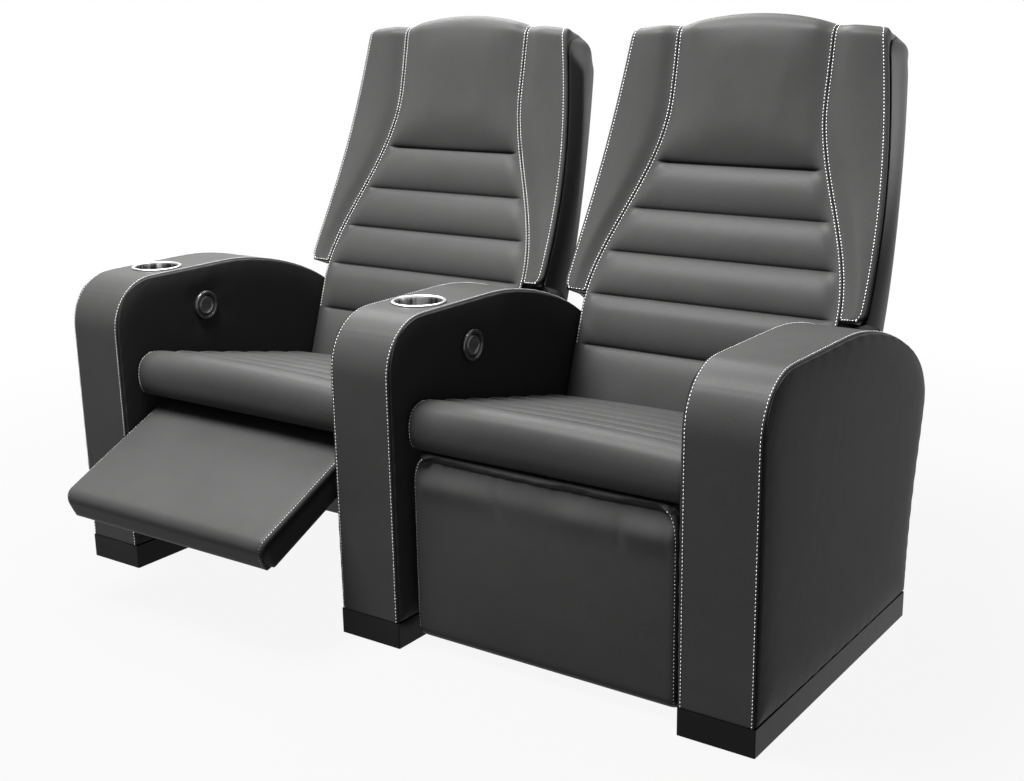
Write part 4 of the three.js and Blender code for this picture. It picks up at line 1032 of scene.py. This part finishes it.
def buildShell():
    sizes, cut = backSizes, shellCut
    rows, columns, layers = shellRows(), columnCount(shellCut), shellCut["layers"]
    last, meet, top = len(rows) - 1, sizes["meetDepth"], sizes["edgeTop"]

    def rimDepth(height, wide):
        below, length = cut["rimTop"]
        share = ease((height - (top - below)) / length)
        return mix(faceDepth(height) + cut["rim"], meet, share) if wide else meet

    def place(i, j, k):
        height, wide = rows[j]
        up = shareOf(height, sizes["bottom"], top)
        half = outerHalf(max(height, sizes["wingBottom"])) if wide else sizes["lowerHalf"]
        rearHalf = half - cut["drawIn"] * (1 - up)
        x = edgeColumns(rearHalf, cut)[i]
        distance = rearHalf - abs(x)
        full = sizes["shellDepth"] + sizes["shellGain"] * up
        fall = roundFall((height - (top - sizes["topRoundHeight"])) / sizes["topRoundHeight"])
        rear = full - (full - meet) * cut["cornerDepth"] * fall
        corner = cut["cornerRadius"] * cut["cornerDepth"]
        # seam here is painted shade: strong on the side rim, faint on the layer just inside it
        rim, atSide, seam = rimDepth(height, wide), i in (0, columns), 0.0
        if k == 0:
            depth = rear - corner * roundFall(1 - distance / cut["cornerRadius"])
            depth += cut["rearSwell"] * (1 - (x / rearHalf) ** 6) * (1 - (2 * up - 1) ** 6)
        elif k == layers and atSide:
            x, depth, seam = math.copysign(half - cut["rimInset"], x), rim, 0.7
        elif k == layers:
            if distance < cut["insideReach"]:
                x = math.copysign(half - (5 * mm + 0.96 * distance), x)
            x = clamp(x, -half, half)
            depth = meet if j in (0, last) else meet - cut["insideDepth"]
        elif k == layers - 1:
            depth, seam = mix(rear, meet, k / layers), 0.15
            if atSide:
                x, depth = math.copysign(half + cut["rimStand"], x), rim + cut["rimWidth"]
        else:
            share = k / layers
            depth = mix(rear, meet, share)
            if atSide:
                bulge = cut["sideSwell"] * (0.25 + 0.75 * up) * math.sin(math.pi * share)
                x = math.copysign(mix(rearHalf, half, share) + bulge, x)
                depth = mix(rear - corner, rim, share)
        nearLedge = max(0.0, 1 - abs(height - sizes["wingBottom"]) / cut["ledgeReach"])
        sink = cut["ledgeDrop"] * nearLedge * shareOf(depth, meet, full)
        cornerStart, cornerSpan = cut["cornerShare"]
        atTop = ease((height - top + cut["cornerHeight"]) / cut["cornerHeight"])
        atTop *= ease((abs(x) / half - cornerStart) / cornerSpan)
        sink += cut["cornerSink"] * atTop * shareOf(depth, meet, rear)
        return (x, depth, crowned(height, x) - sink), seam

    shell, table = cutAndSew("shell", (columns, last, layers), place)
    first = next(j for j, row in enumerate(rows) if row[1]) + 2
    return shell, [stitchPath(shell, table, [(i, j, 0) for j in range(first, last - 2)])
                   for i in (3, columns - 3)]


def placeBacks():
    middlePad, padLines = buildMiddlePad()
    print("middle pad sewn")
    wing, wingLines = buildWing()
    print("wing sewn")
    shell, shellLines = buildShell()
    mirror = Matrix.Scale(-1, 4, (1, 0, 0))
    for side, seatX in rowSizes["seatX"].items():
        at = backMatrix(seatX)
        body = side + "_back"
        for name, pattern, matrix in (("_middle_pad", middlePad, at), ("_wing_b", wing, at),
                                      ("_wing_a", wing, at @ mirror), ("_shell", shell, at)):
            piece = shifted(pattern, side + name, matrix)
            dress(piece, "leather", body, [body + name])
        places = [[at @ p for p in line] for line in padLines + shellLines + wingLines]
        places += [[at @ (mirror @ p) for p in line] for line in wingLines]
        runs = [sewRun(line, width=stitchSizes["width"]) for line in places]
        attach(joined(side + "_back_stitching", runs), body)
    for pattern in (middlePad, wing, shell):
        bpy.data.objects.remove(pattern)


placeBacks()
print("backs upholstered")


# Leg rest pads' sizes, which the cushions over them keep clear of; y runs back from the arms' front

legCut = {
    "pivotPlace": (84 * mm, 287 * mm),
    "openAngle": {"left": 65, "right": 0},
    "reach": 88 * mm,
    "swingGap": 0.8 * mm,
    "front": 30 * mm,
    "rear": 60.4 * mm,
    "bottom": 18 * mm,
    "halfWidth": 265 * mm,
    "cornerFrom": 308 * mm,  # upper corners are cut round from here up, over the next length
    "cornerDrop": 50 * mm,
    "cornerInset": 22 * mm,
    "bottomRadius": 22 * mm,
    "bottomInset": 8 * mm,
    "sideFall": 11 * mm,
    "sideRound": 13 * mm,
    "swell": 6 * mm,
    "swellTop": 356 * mm,
    "topEdge": [60 * mm, 54 * mm, 48 * mm, 43 * mm, 39 * mm],  # y of the rows that follow the swing
    "lip": [(35 * mm, 359.6 * mm), (32 * mm, 357.6 * mm), (30.4 * mm, 355.4 * mm)],
    "seamHeight": 352.4 * mm,
    "seamRecess": 10 * mm,
    "belowSeam": [drop * mm for drop in (-1.6, 0, 1.6, 4, 7.5, 12, 17, 23, 30, 38, 47, 57)],
    "faceRows": 16,
    "bottomEnd": 58 * mm,
    "puffLength": 38 * mm,  # the cover comes forward again over this length below the seam
    "foldHeight": 42 * mm,  # and has its folds about this far below the seam
    "creases": [(0.148, 0.25, 6 * mm), (-0.236, -0.3, 7 * mm), (-0.105, 0.5, 5 * mm),
                (0.226, 0.4, 6 * mm)],  # where across, lean, width
    "sideDepth": 90 * mm,  # how far back the sides and the bottom reach round the board
    "sideTop": 245 * mm,
    "rearBottom": 31 * mm,
    "rearLip": 30.4 * mm,
    "rearSides": [264.5 * mm, 262 * mm, 256 * mm, 252.6 * mm, 252 * mm],  # from the side inwards
    "edge": [0.0, 1.2 * mm, 3.2 * mm, 6 * mm, 10 * mm, 15.5 * mm, 23 * mm],
    "inner": 70,
    "layers": 3,
    "puff": {"pressure": 1.2, "stiffness": 3.0, "frames": 14, "reach": 2.5 * mm},
}


# Seat cushions: a plump front roll and six sewn channels

cushionCut = {
    "halfWidth": 272 * mm,
    "slope": 12,
    "deckFront": (150 * mm, 359 * mm),
    "deckRear": 526 * mm,
    "deckGap": 0.6 * mm,
    "thickness": 84 * mm,
    "rollCentre": 78 * mm,
    "rollDepth": 46 * mm,
    "rollBottom": 357 * mm,
    "rollPower": 2.6,  # 2 is an ellipse, more is fuller
    "rollLip": 31,  # degrees round the roll from its lowest point
    "underRows": [0.02, 0.15, 0.3, 0.45, 0.6, 0.75, 0.88, 0.96],
    "rollRows": 18,
    "plainLength": 44 * mm,
    "plainRows": 6,
    "channels": 6,
    "channelRows": [0, 0.05, 0.12, 0.21, 0.32, 0.44, 0.56, 0.68, 0.79, 0.88, 0.95],
    "channelEnd": 509 * mm,
    "rearEdge": [(0.0, 9 * mm), (3 * mm, 16 * mm), (2 * mm, 30 * mm)],  # behind the end, and below
    "rearInset": 2 * mm,
    "grooveDepth": 10.5 * mm,
    "crown": 7 * mm,
    "edge": [0.0, 1.0 * mm, 2.6 * mm, 5 * mm, 8.5 * mm, 13 * mm, 19 * mm, 27 * mm],
    "inner": 34,
    "endRound": 15 * mm,
    "endKeep": 0.90,
    "endPinch": 0.018,
    "endPinchAndPaintedShadeReach": 1.2 * mm,
    "drawIn": 5 * mm,
    "drawInFrom": 32 * mm,
    "layers": 3,
    "puff": {"pressure": 1.6, "stiffness": 3.0, "frames": 18, "reach": 8 * mm},
}


def deckTop(y):
    front, high = cushionCut["deckFront"]
    return high - (y - front) * math.tan(math.radians(cushionCut["slope"]))


def cushionTop(y):
    return deckTop(y) + cushionCut["thickness"]


# Height over the leg rest's pivot of a swing this far out
def swingHeight(y, reach):
    pivotY, pivotZ = legCut["pivotPlace"]
    return pivotZ + math.sqrt(max(0.0, reach ** 2 - (y - pivotY) ** 2))


# Lowest height over the leg rest's swing, with a little room
def clearOfLegRest(y):
    return swingHeight(y, legCut["reach"] + legCut["swingGap"])


# The cushion's outer line in y and z, from under the roll to the rear, and how deep it is sewn down
def cushionLine():
    cut, line = cushionCut, []
    centre, power, front = cut["rollCentre"], cut["rollPower"], cut["deckFront"][0]
    rollHalf = (cushionTop(centre) - cut["rollBottom"]) / 2
    lip = centre - cut["rollDepth"] * math.sin(math.radians(cut["rollLip"]))
    for share in cut["underRows"]:
        y = mix(front, lip, share)
        line.append((y, max(deckTop(y) + cut["deckGap"], clearOfLegRest(y)), 0.0))
    for k in range(cut["rollRows"] + 1):
        turn = -math.radians(mix(90 + cut["rollLip"], 270, k / cut["rollRows"]))
        full = (abs(math.cos(turn)) ** power + abs(math.sin(turn)) ** power) ** (-1 / power)
        y = centre + cut["rollDepth"] * math.cos(turn) * full
        z = cut["rollBottom"] + rollHalf + rollHalf * math.sin(turn) * full
        line.append((y, max(z, clearOfLegRest(y)), 0.0))
    first, rear = centre + cut["plainLength"], cut["channelEnd"]
    for k in range(1, cut["plainRows"]):
        y, share = mix(centre, first, k / cut["plainRows"]), k / cut["plainRows"]
        line.append((y, cushionTop(y), roundFall(ease((share - 0.3) / 0.7))))
    pitch = (rear - first) / cut["channels"]
    for c in range(cut["channels"]):
        for share in cut["channelRows"]:
            y = first + pitch * (c + share)
            line.append((y, cushionTop(y), channelDepth(share)))
    for behind, drop in cut["rearEdge"]:
        y = rear + behind
        line.append((y - cut["rearInset"], cushionTop(y) - drop, 0.0))
    return line


def buildCushion():
    cut, line = cushionCut, cushionLine()
    columns, rows = columnCount(cut), len(line) - 1
    underRows = len(cut["underRows"])
    rollEnd = underRows + cut["rollRows"] + 1
    top = cushionTop(cut["rollCentre"])
    centre = Vector((cut["rollCentre"], mix(cut["rollBottom"], top, 0.5)))

    def place(i, j, k):
        y, z, sewn = line[j]
        along = shareOf(y, cut["drawInFrom"], cut["deckRear"])
        half = cut["halfWidth"] - cut["drawIn"] * pillow(along)
        x = edgeColumns(half, cut)[i]
        distance = half - abs(x)
        inside = 0.5 + 0.5 * ease((distance - 1 * mm) / (9 * mm))
        keep = 1 - (1 - cut["endKeep"]) * roundFall(1 - distance / cut["endRound"])
        pinch = 1 - cut["endPinch"] * fade(distance, cut["endPinchAndPaintedShadeReach"])
        middle = deckTop(y) + cut["thickness"] / 2
        if y < cut["rollCentre"] + cut["plainLength"] and j < rollEnd:
            squeezed = centre + (Vector((y, z)) - centre) * keep * pinch
            y, z = (squeezed.x if y < cut["rollCentre"] else y), max(squeezed.y, clearOfLegRest(y))
            middle = centre.y
        else:
            z = middle + (z - middle) * keep * pinch
        if z > middle:
            z -= cut["grooveDepth"] * sewn * inside + cut["crown"] * (x / half) ** 2
        if k == 0:
            # painted shade at the cushion's ends and in its channel grooves
            seam = max(fade(distance, cut["endPinchAndPaintedShadeReach"]), clamp(sewn - 0.7) * 1.6 * inside)
            return (x, y + rowSizes["frontY"], z), seam
        base = mix(cut["deckFront"][0] + 8 * mm, cut["deckRear"], clamp((j - 3) / (rows - 3)))
        share = k / cut["layers"]
        y, z = mix(y, base, share), mix(z, deckTop(base) + cut["deckGap"], share)
        return (x, y + rowSizes["frontY"], z), 0.0

    def isHeld(i, j, k):
        atEnd = j <= underRows or j >= rows - 1
        return k > 0 or atEnd or min(i, columns - i) <= 3 or line[j][2] > 0.97

    size = (columns, rows, cut["layers"])
    cushion, table = cutAndSew("cushion", size, place, isHeld, cut["puff"])
    return cushion, [stitchPath(cushion, table, [(i, j, 0) for j in range(7, rows - 2)])
                     for i in (2, columns - 2)]


def placeCushions():
    cushion, lines = buildCushion()
    for side, seatX in rowSizes["seatX"].items():
        at = Matrix.Translation((seatX, 0, 0))
        piece = shifted(cushion, side + "_cushion", at)
        dress(piece, "leather", "base", [side + "_seat_cushion"])
        runs = [sewRun([at @ p for p in line]) for line in lines]
        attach(joined(side + "_cushion_stitching", runs), "base")
    bpy.data.objects.remove(cushion)


placeCushions()
print("seat cushions upholstered")


# Leg rests: drawn closed, and turned open for the left seat

# Front line of the pad in y and z, from its top rear edge down to its bottom
def legLine():
    cut = legCut
    front, radius = cut["front"], cut["bottomRadius"]
    line = [(y, swingHeight(y, cut["reach"])) for y in cut["topEdge"]] + cut["lip"]
    line += [(front, cut["seamHeight"] - drop) for drop in cut["belowSeam"]]
    last, faceBottom, count = line[-1][1], cut["bottom"] + radius, cut["faceRows"]
    line += [(front, mix(last, faceBottom, k / count)) for k in range(1, count)]
    for k in range(7):
        turn = math.pi + math.pi / 2 * k / 6
        y, z = front + radius + radius * math.cos(turn), faceBottom + radius * math.sin(turn)
        line.append((y, z))
    return line + [(cut["bottomEnd"], cut["bottom"])]


# How far the cover lies behind its front at x, this far below its sewn line
def gathers(x, below):
    cut = legCut
    broad = noise.noise(Vector((x * 11 + 5.1, 0.4, 7.9)))
    fine = noise.noise(Vector((x * 62, max(0.0, below) * 14, 3.7)))
    forward = ease((below - 4 * mm) / cut["puffLength"])
    recess = cut["seamRecess"] * (0.85 + 0.8 * broad) * (1 - forward)
    creases = sum(bell(x - at - below * lean, width) for at, lean, width in cut["creases"])
    folds = 1.3 * mm * fine * fade(max(0.0, below), 18 * mm)
    band = bell(below - cut["foldHeight"], 20 * mm)
    return recess - folds - band * (2.4 * mm + 3.4 * mm * broad - 3.2 * mm * creases)


# The same for the narrow welt over the sewn line
def weltBehind(x, j):
    return gathers(x, 0.0) - 1.6 * mm + 0.9 * mm * noise.noise(Vector((x * 70, j * 0.3, 1.3)))


def buildLegPad():
    cut, line = legCut, legLine()
    columns, rows = columnCount(cut), len(line) - 1
    lipRow = len(cut["topEdge"])
    sewnRow = lipRow + len(cut["lip"]) + cut["belowSeam"].index(0)

    def rearPlace(i, j, x, z):
        nearSide = min(i, columns - i)
        if nearSide < len(cut["rearSides"]):
            x = math.copysign(cut["rearSides"][nearSide], x)
        if j >= rows - 1:
            return x, cut["sideDepth"], cut["bottom"] if j == rows else cut["rearLip"]
        z = cut["rearBottom"] if j == rows - 2 else max(z, cut["rearBottom"])
        atSide = nearSide <= 3 and z < cut["sideTop"]
        return x, cut["sideDepth"] if atSide else cut["rear"], z

    def place(i, j, k):
        y, z = line[j]
        half = cut["halfWidth"]
        x = edgeColumns(half, cut)[i]
        distance = half - abs(x)
        share = clamp((cut["swellTop"] - z) / (cut["swellTop"] - cut["bottom"]))
        inset = cut["cornerInset"] * roundFall((z - cut["cornerFrom"]) / cut["cornerDrop"])
        inset += cut["bottomInset"] * roundFall(1 - (z - cut["bottom"]) / cut["bottomRadius"])
        x *= 1 - inset / half
        sideShare = 1.0 if j >= lipRow + 2 else 0.35
        y += cut["sideFall"] * roundFall(1 - distance / cut["sideRound"]) * sideShare
        y -= cut["swell"] * pillow(share) * (1 - (x / half) ** 2)
        inside = ease((distance - 4 * mm) / (16 * mm))
        if j == sewnRow:
            y += 1.5 * mm
        if j >= sewnRow:
            y += gathers(x, cut["seamHeight"] - z) * inside
        elif j >= lipRow - 1:
            y = max(y, cut["front"] + weltBehind(x, j) * inside)
        if k == 0:
            # painted shade on the welt over the sewn line, on the seam row, and along the sides
            paintedWeltShade = {0: 0.95, 1: 0.4}.get(j - sewnRow, 1.0 if j < sewnRow else 0.0)
            return (x, y + rowSizes["frontY"], z), max(fade(distance, 1.4 * mm), paintedWeltShade)
        rearX, rearY, rearZ = rearPlace(i, j, x, z)
        if z < cut["rearBottom"]:
            rearX *= 1 - inset / half
        x, y, z = (mix(a, b, k / cut["layers"]) for a, b in ((x, rearX), (y, rearY), (z, rearZ)))
        return (x, y + rowSizes["frontY"], z), 0.0

    def isHeld(i, j, k):
        return k > 0 or min(i, columns - i) <= 3 or j <= sewnRow or j >= rows - 5

    pad, table = cutAndSew("legPad", (columns, rows, cut["layers"]), place, isHeld, cut["puff"])
    white = [[(i, j, 0) for j in range(6, rows + 1)] + [(i, rows, 1), (i, rows, 2)]
             for i in (3, columns - 3)]
    dark = [[(i, j, 0) for i in range(3, columns - 2)] for j in (sewnRow - 1, sewnRow + 1)]
    return pad, *([stitchPath(pad, table, spots) for spots in lines] for lines in (white, dark))


def placeLegRests():
    cut = legCut
    pad, white, dark = buildLegPad()
    pivotY, pivotZ = cut["pivotPlace"]
    pivot = Matrix.Translation((0, rowSizes["frontY"] + pivotY, pivotZ))
    for side, seatX in rowSizes["seatX"].items():
        turn = Matrix.Rotation(-math.radians(cut["openAngle"][side]), 4, "X")
        at = Matrix.Translation((seatX, 0, 0)) @ pivot @ turn @ pivot.inverted()
        body = side + "_leg_rest"
        piece = shifted(pad, side + "_leg_pad", at)
        dress(piece, "leather", body, [side + "_leg_rest_pad"])
        for name, lines, thread in (("_leg_stitching", white, "thread"),
                                    ("_leg_dark_stitching", dark, "darkThread")):
            runs = [sewRun([at @ p for p in line], thread) for line in lines]
            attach(joined(side + name, runs), body)
    bpy.data.objects.remove(pad)


placeLegRests()
print("leg rests upholstered")


# Cup holders and switches, turned on a lathe

# Draws an outline of radius and height, spins it round z and places the closed result
def turned(name, profile, steps, matrix):
    clearSelection()
    bpy.ops.mesh.primitive_plane_add(size=1)
    piece = bpy.context.object
    piece.name = name
    editWhole()
    bpy.ops.mesh.merge(type="CENTER")
    bpy.ops.transform.translate(value=(profile[0][0], 0, profile[0][1]))
    for (fromRadius, fromHeight), (radius, height) in zip(profile, profile[1:]):
        step = (radius - fromRadius, 0, height - fromHeight)
        bpy.ops.mesh.extrude_vertices_move(TRANSFORM_OT_translate={"value": step})
    bpy.ops.mesh.select_all(action="SELECT")
    bpy.ops.mesh.spin(steps=steps, angle=math.tau, center=(0, 0, 0), axis=(0, 0, 1))
    bpy.ops.mesh.select_all(action="SELECT")
    bpy.ops.mesh.remove_doubles(threshold=0.00001)
    closeEdit()
    piece.data.transform(matrix)
    workOn(piece)
    bpy.ops.object.shade_smooth_by_angle(angle=math.radians(40))
    return piece


def arc(centre, radius, fromDeg, toDeg, steps):
    x, y = centre
    turns = [math.radians(mix(fromDeg, toDeg, k / steps)) for k in range(steps + 1)]
    return [(x + radius * math.cos(turn), y + radius * math.sin(turn)) for turn in turns]


cupSizes = {
    "inner": 43.5 * mm,
    "wall": 1.6 * mm,
    "depth": 70 * mm,
    "footRound": 9 * mm,
    "flange": 51.5 * mm,
    "flangeHeight": 3.6 * mm,
    "flangeFoot": 0.4 * mm,
    "rimRound": 1.3 * mm,
    "mouthRound": 3.4 * mm,
    "floorDisc": ((26 * mm, 24.6 * mm), (12 * mm, 10.6 * mm)),  # a raised ring in the cup's floor
    "floorRise": 1.2 * mm,
}


def buildCup(name, centreX, node):
    sizes = cupSizes
    inner, deep, rim, foot, mouth = (sizes[key] for key in (
        "inner", "depth", "flange", "footRound", "mouthRound"))
    floor, outer = -deep + sizes["wall"], inner + sizes["wall"]
    (outA, outB), (inA, inB) = sizes["floorDisc"]
    profile = [(0, -deep)]
    profile += arc((outer - foot, -deep + foot), foot, -90, 0, 6)
    profile += [(outer, sizes["flangeFoot"]), (rim - 1 * mm, sizes["flangeFoot"])]
    profile += arc((rim - 1.6 * mm, 1.7 * mm), sizes["rimRound"], -80, 90, 6)
    profile += arc((inner + mouth, sizes["flangeHeight"] - mouth), mouth, 90, 180, 8)
    profile += [(inner, -12 * mm), (inner - 0.2 * mm, -deep + 12 * mm)]
    profile += arc((inner - foot, floor + foot), foot, 0, -90, 6)
    raised = floor + sizes["floorRise"]
    profile += [(outA, floor), (outB, raised), (inA, raised), (inB, floor), (0, floor)]
    place = (centreX, rowSizes["frontY"] + armSizes["cup"]["y"], armSizes["height"])
    at = Matrix.Translation(place)
    dress(turned(name, profile, 72, at), "cup", "base", [node])


switchSizes = {
    "well": 21.4 * mm,
    "wellFloor": -6.2 * mm,
    "barrel": 23.9 * mm,
    "barrelEnd": -8.4 * mm,
    "flange": 30.5 * mm,
    "flangeFoot": 0.2 * mm,
    "flangeRound": 3.6 * mm,
    "lipRound": 1.2 * mm,
    "lipBelow": 2.6 * mm,
    "stand": 7.5 * mm,
    "rocker": 20 * mm,
    "rockerFoot": -3.2 * mm,
    "rockerInsets": [step * mm for step in (0.7, 0.9, 1.0, 0.9, 0.9, 1.1, 1.6, 2.6, 3.4, 3.4)],
    "rockerRim": 2 * mm,
    "rockerFall": 1.8 * mm,
    "rockerTop": 5.4 * mm,
    "ring": (16.6 * mm, 1.5 * mm, 1.8 * mm),  # raised ring's radius, half width and height
    "dish": 2.8 * mm,
    "bar": 6 * mm,  # half the width of the bar between the dished halves
}


def buildSwitch(side, faceX):
    sizes = switchSizes
    well, barrel, end, flange = (sizes[key] for key in ("well", "barrel", "barrelEnd", "flange"))
    stand, rounding, flangeFoot = (sizes[key] for key in ("stand", "flangeRound", "flangeFoot"))
    lip = stand - sizes["lipBelow"]
    place = (faceX, rowSizes["frontY"] + armSizes["switch"]["y"], armSizes["switch"]["z"])
    at = Matrix.Translation(place) @ Matrix.Rotation(math.pi / 2, 4, "Y")
    profile = [(0, end), (barrel, end), (barrel, flangeFoot), (flange, flangeFoot)]
    profile += arc((flange - rounding, stand - rounding), rounding, 0, 130, 9)
    profile += [(flange - 6.6 * mm, lip)]
    profile += arc((well + sizes["lipRound"], lip), sizes["lipRound"], 20, 180, 7)
    profile += [(well, sizes["wellFloor"]), (0, sizes["wellFloor"])]
    bezel = turned(side + "_bezel", profile, 64, at)
    dress(bezel, "glossPlastic", "base", [side + "_switch_bezel"])
    buildRocker(side, at)


# Height of the rocker's face: two dished halves with a bar between them, and a ring round both
def rockerHeight(point):
    sizes = switchSizes
    out = point.xy.length
    ringRadius, ringHalf, ringHeight = sizes["ring"]
    rim = roundFall((out - sizes["rocker"] + sizes["rockerRim"]) / sizes["rockerRim"])
    inside = math.sin(math.pi / 2 * clamp(1 - out / ringRadius) ** 0.5)
    dish = sizes["dish"] * inside * (0.65 + 0.35 * clamp(abs(point.x) / sizes["bar"]))
    raised = ringHeight * bell(out - ringRadius, ringHalf)
    return sizes["rockerTop"] - sizes["rockerFall"] * rim - dish + raised


def buildRocker(side, at):
    sizes, thickness = switchSizes, 8 * mm
    clearSelection()
    bpy.ops.mesh.primitive_circle_add(vertices=48, radius=sizes["rocker"], fill_type="NGON")
    cap = bpy.context.object
    cap.name = side + "_rocker"
    editWhole()
    bpy.ops.mesh.extrude_region_move(TRANSFORM_OT_translate={"value": (0, 0, thickness)})
    for step in sizes["rockerInsets"]:
        bpy.ops.mesh.inset(thickness=step)
    closeEdit()
    for vertex in cap.data.vertices:
        onFace = vertex.co.z > thickness / 2
        vertex.co.z = rockerHeight(vertex.co) if onFace else sizes["rockerFoot"]
    applyModifier(cap, "SUBSURF", levels=1, render_levels=1)
    cap.data.transform(at)
    workOn(cap)
    bpy.ops.object.shade_smooth_by_angle(angle=math.radians(50))
    dress(cap, "rockerPlasticPaintedHighlight", side + "_switch_rocker", [side + "_switch_rocker"])


buildCup("left_cup", -rowSizes["seatPitch"], "left_cup_holder")
buildCup("center_cup", 0.0, "center_cup_holder")
buildSwitch("left", armSizes["halfWidth"] - rowSizes["seatPitch"])
buildSwitch("right", armSizes["halfWidth"])
print("cup holders and switches turned")


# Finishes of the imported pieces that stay

nodeFinishes = {
    "plinth": "plinth",
    "side_plate": "frameSteel",
    "cross_tube": "frameSteel",
    "leg_rest_frame": "frameSteel",
    "back_frame": "frameSteel",
    "seat_deck": "plywood",
    "leg_rest_board": "plywood",
    "shaft": "zinc",
    "actuator_rod": "zinc",
    "actuator_body": "casting",
    "control_box": "plastic",
}
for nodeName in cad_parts:
    node = bpy.data.objects.get(nodeName)
    finish = next((value for key, value in nodeFinishes.items() if key in nodeName), None)
    if node and finish:
        for slotPlace in node.material_slots:
            slotPlace.material = finishes[finish]
        if not node.material_slots:
            wear(node, finish)
print("packed pieces finished")


# Studio: pale floor, soft light, white behind

studio = {
    "worldLight": 0.16,
    "floorShade": 0.10,
    "floorRadius": 60,
    "floorGlow": (0.91, 1.0),  # share of the floor's own white that is seen, near and far away
    "glowReach": (1.0, 2.4),
    "lamps": [  # name, place, target, size, power, spread in degrees
        ("topLamp", (-1.5, 1.3, 3.1), (0.0, 0.0, 0.5), 2.2, 215, 180),
        ("frontLamp", (-0.95, -1.05, 3.8), (0.0, 0.0, 0.6), 1.7, 600, 180),
        ("sideLamp", (2.3, 1.5, 1.10), (0.3, 0.45, 1.07), 0.6, 3.6, 12),
    ],
}


def addLamp(name, place, target, size, power, spread):
    bpy.ops.object.light_add(type="AREA", location=place)
    lamp = bpy.context.object
    lamp.name = name
    lamp.data.size = size
    lamp.data.energy = power
    lamp.data.spread = math.radians(spread)
    lamp.rotation_euler = (Vector(target) - Vector(place)).to_track_quat("-Z", "Y").to_euler()


# 1 where the camera, a reflection or glass looks straight at it
def seenDirectly(f):
    camera, glossy, glass = (f.add("ShaderNodeLightPath", output=name) for name in (
        "Is Camera Ray", "Is Glossy Ray", "Is Transmission Ray"))
    return (camera + glossy + glass).held()


def setStudio(setup):
    bpy.context.scene.world = bpy.data.worlds.new("studioWorld")
    backdrop = Finish(bpy.context.scene.world)
    light, seen = (
        backdrop.add("ShaderNodeBackground", values={"Color": grey(1.0), "Strength": strength})
        for strength in (setup["worldLight"], 1.0))
    share = seenDirectly(backdrop)
    both = backdrop.add("ShaderNodeMixShader", values={0: share, 1: light, 2: seen})
    backdrop.add("ShaderNodeOutputWorld", values={0: both})
    clearSelection()
    bpy.ops.mesh.primitive_circle_add(vertices=96, radius=setup["floorRadius"], fill_type="NGON")
    floor = bpy.context.object
    floor.name = "studioFloor"
    ground = newFinish("paleFloor")
    matte = ground.add("ShaderNodeBsdfDiffuse", values={"Color": grey(setup["floorShade"])})
    glow = ground.add("ShaderNodeEmission", values={"Color": grey(1.0), "Strength": 1.0})
    span = ground.add("ShaderNodeVectorMath", {"operation": "LENGTH"}, {0: ground.coords()},
                      output="Value")
    near, far = setup["glowReach"]
    stops = [(near / 10, setup["floorGlow"][0]), (far / 10, setup["floorGlow"][1])]
    share = seenDirectly(ground) * ground.ramp(span * 0.1, *stops)
    surface = ground.add("ShaderNodeMixShader", values={0: share, 1: matte, 2: glow})
    ground.add("ShaderNodeOutputMaterial", values={0: surface})
    floor.data.materials.append(ground.owner)
    for lamp in setup["lamps"]:
        addLamp(*lamp)


setStudio(studio)
print("studio set")
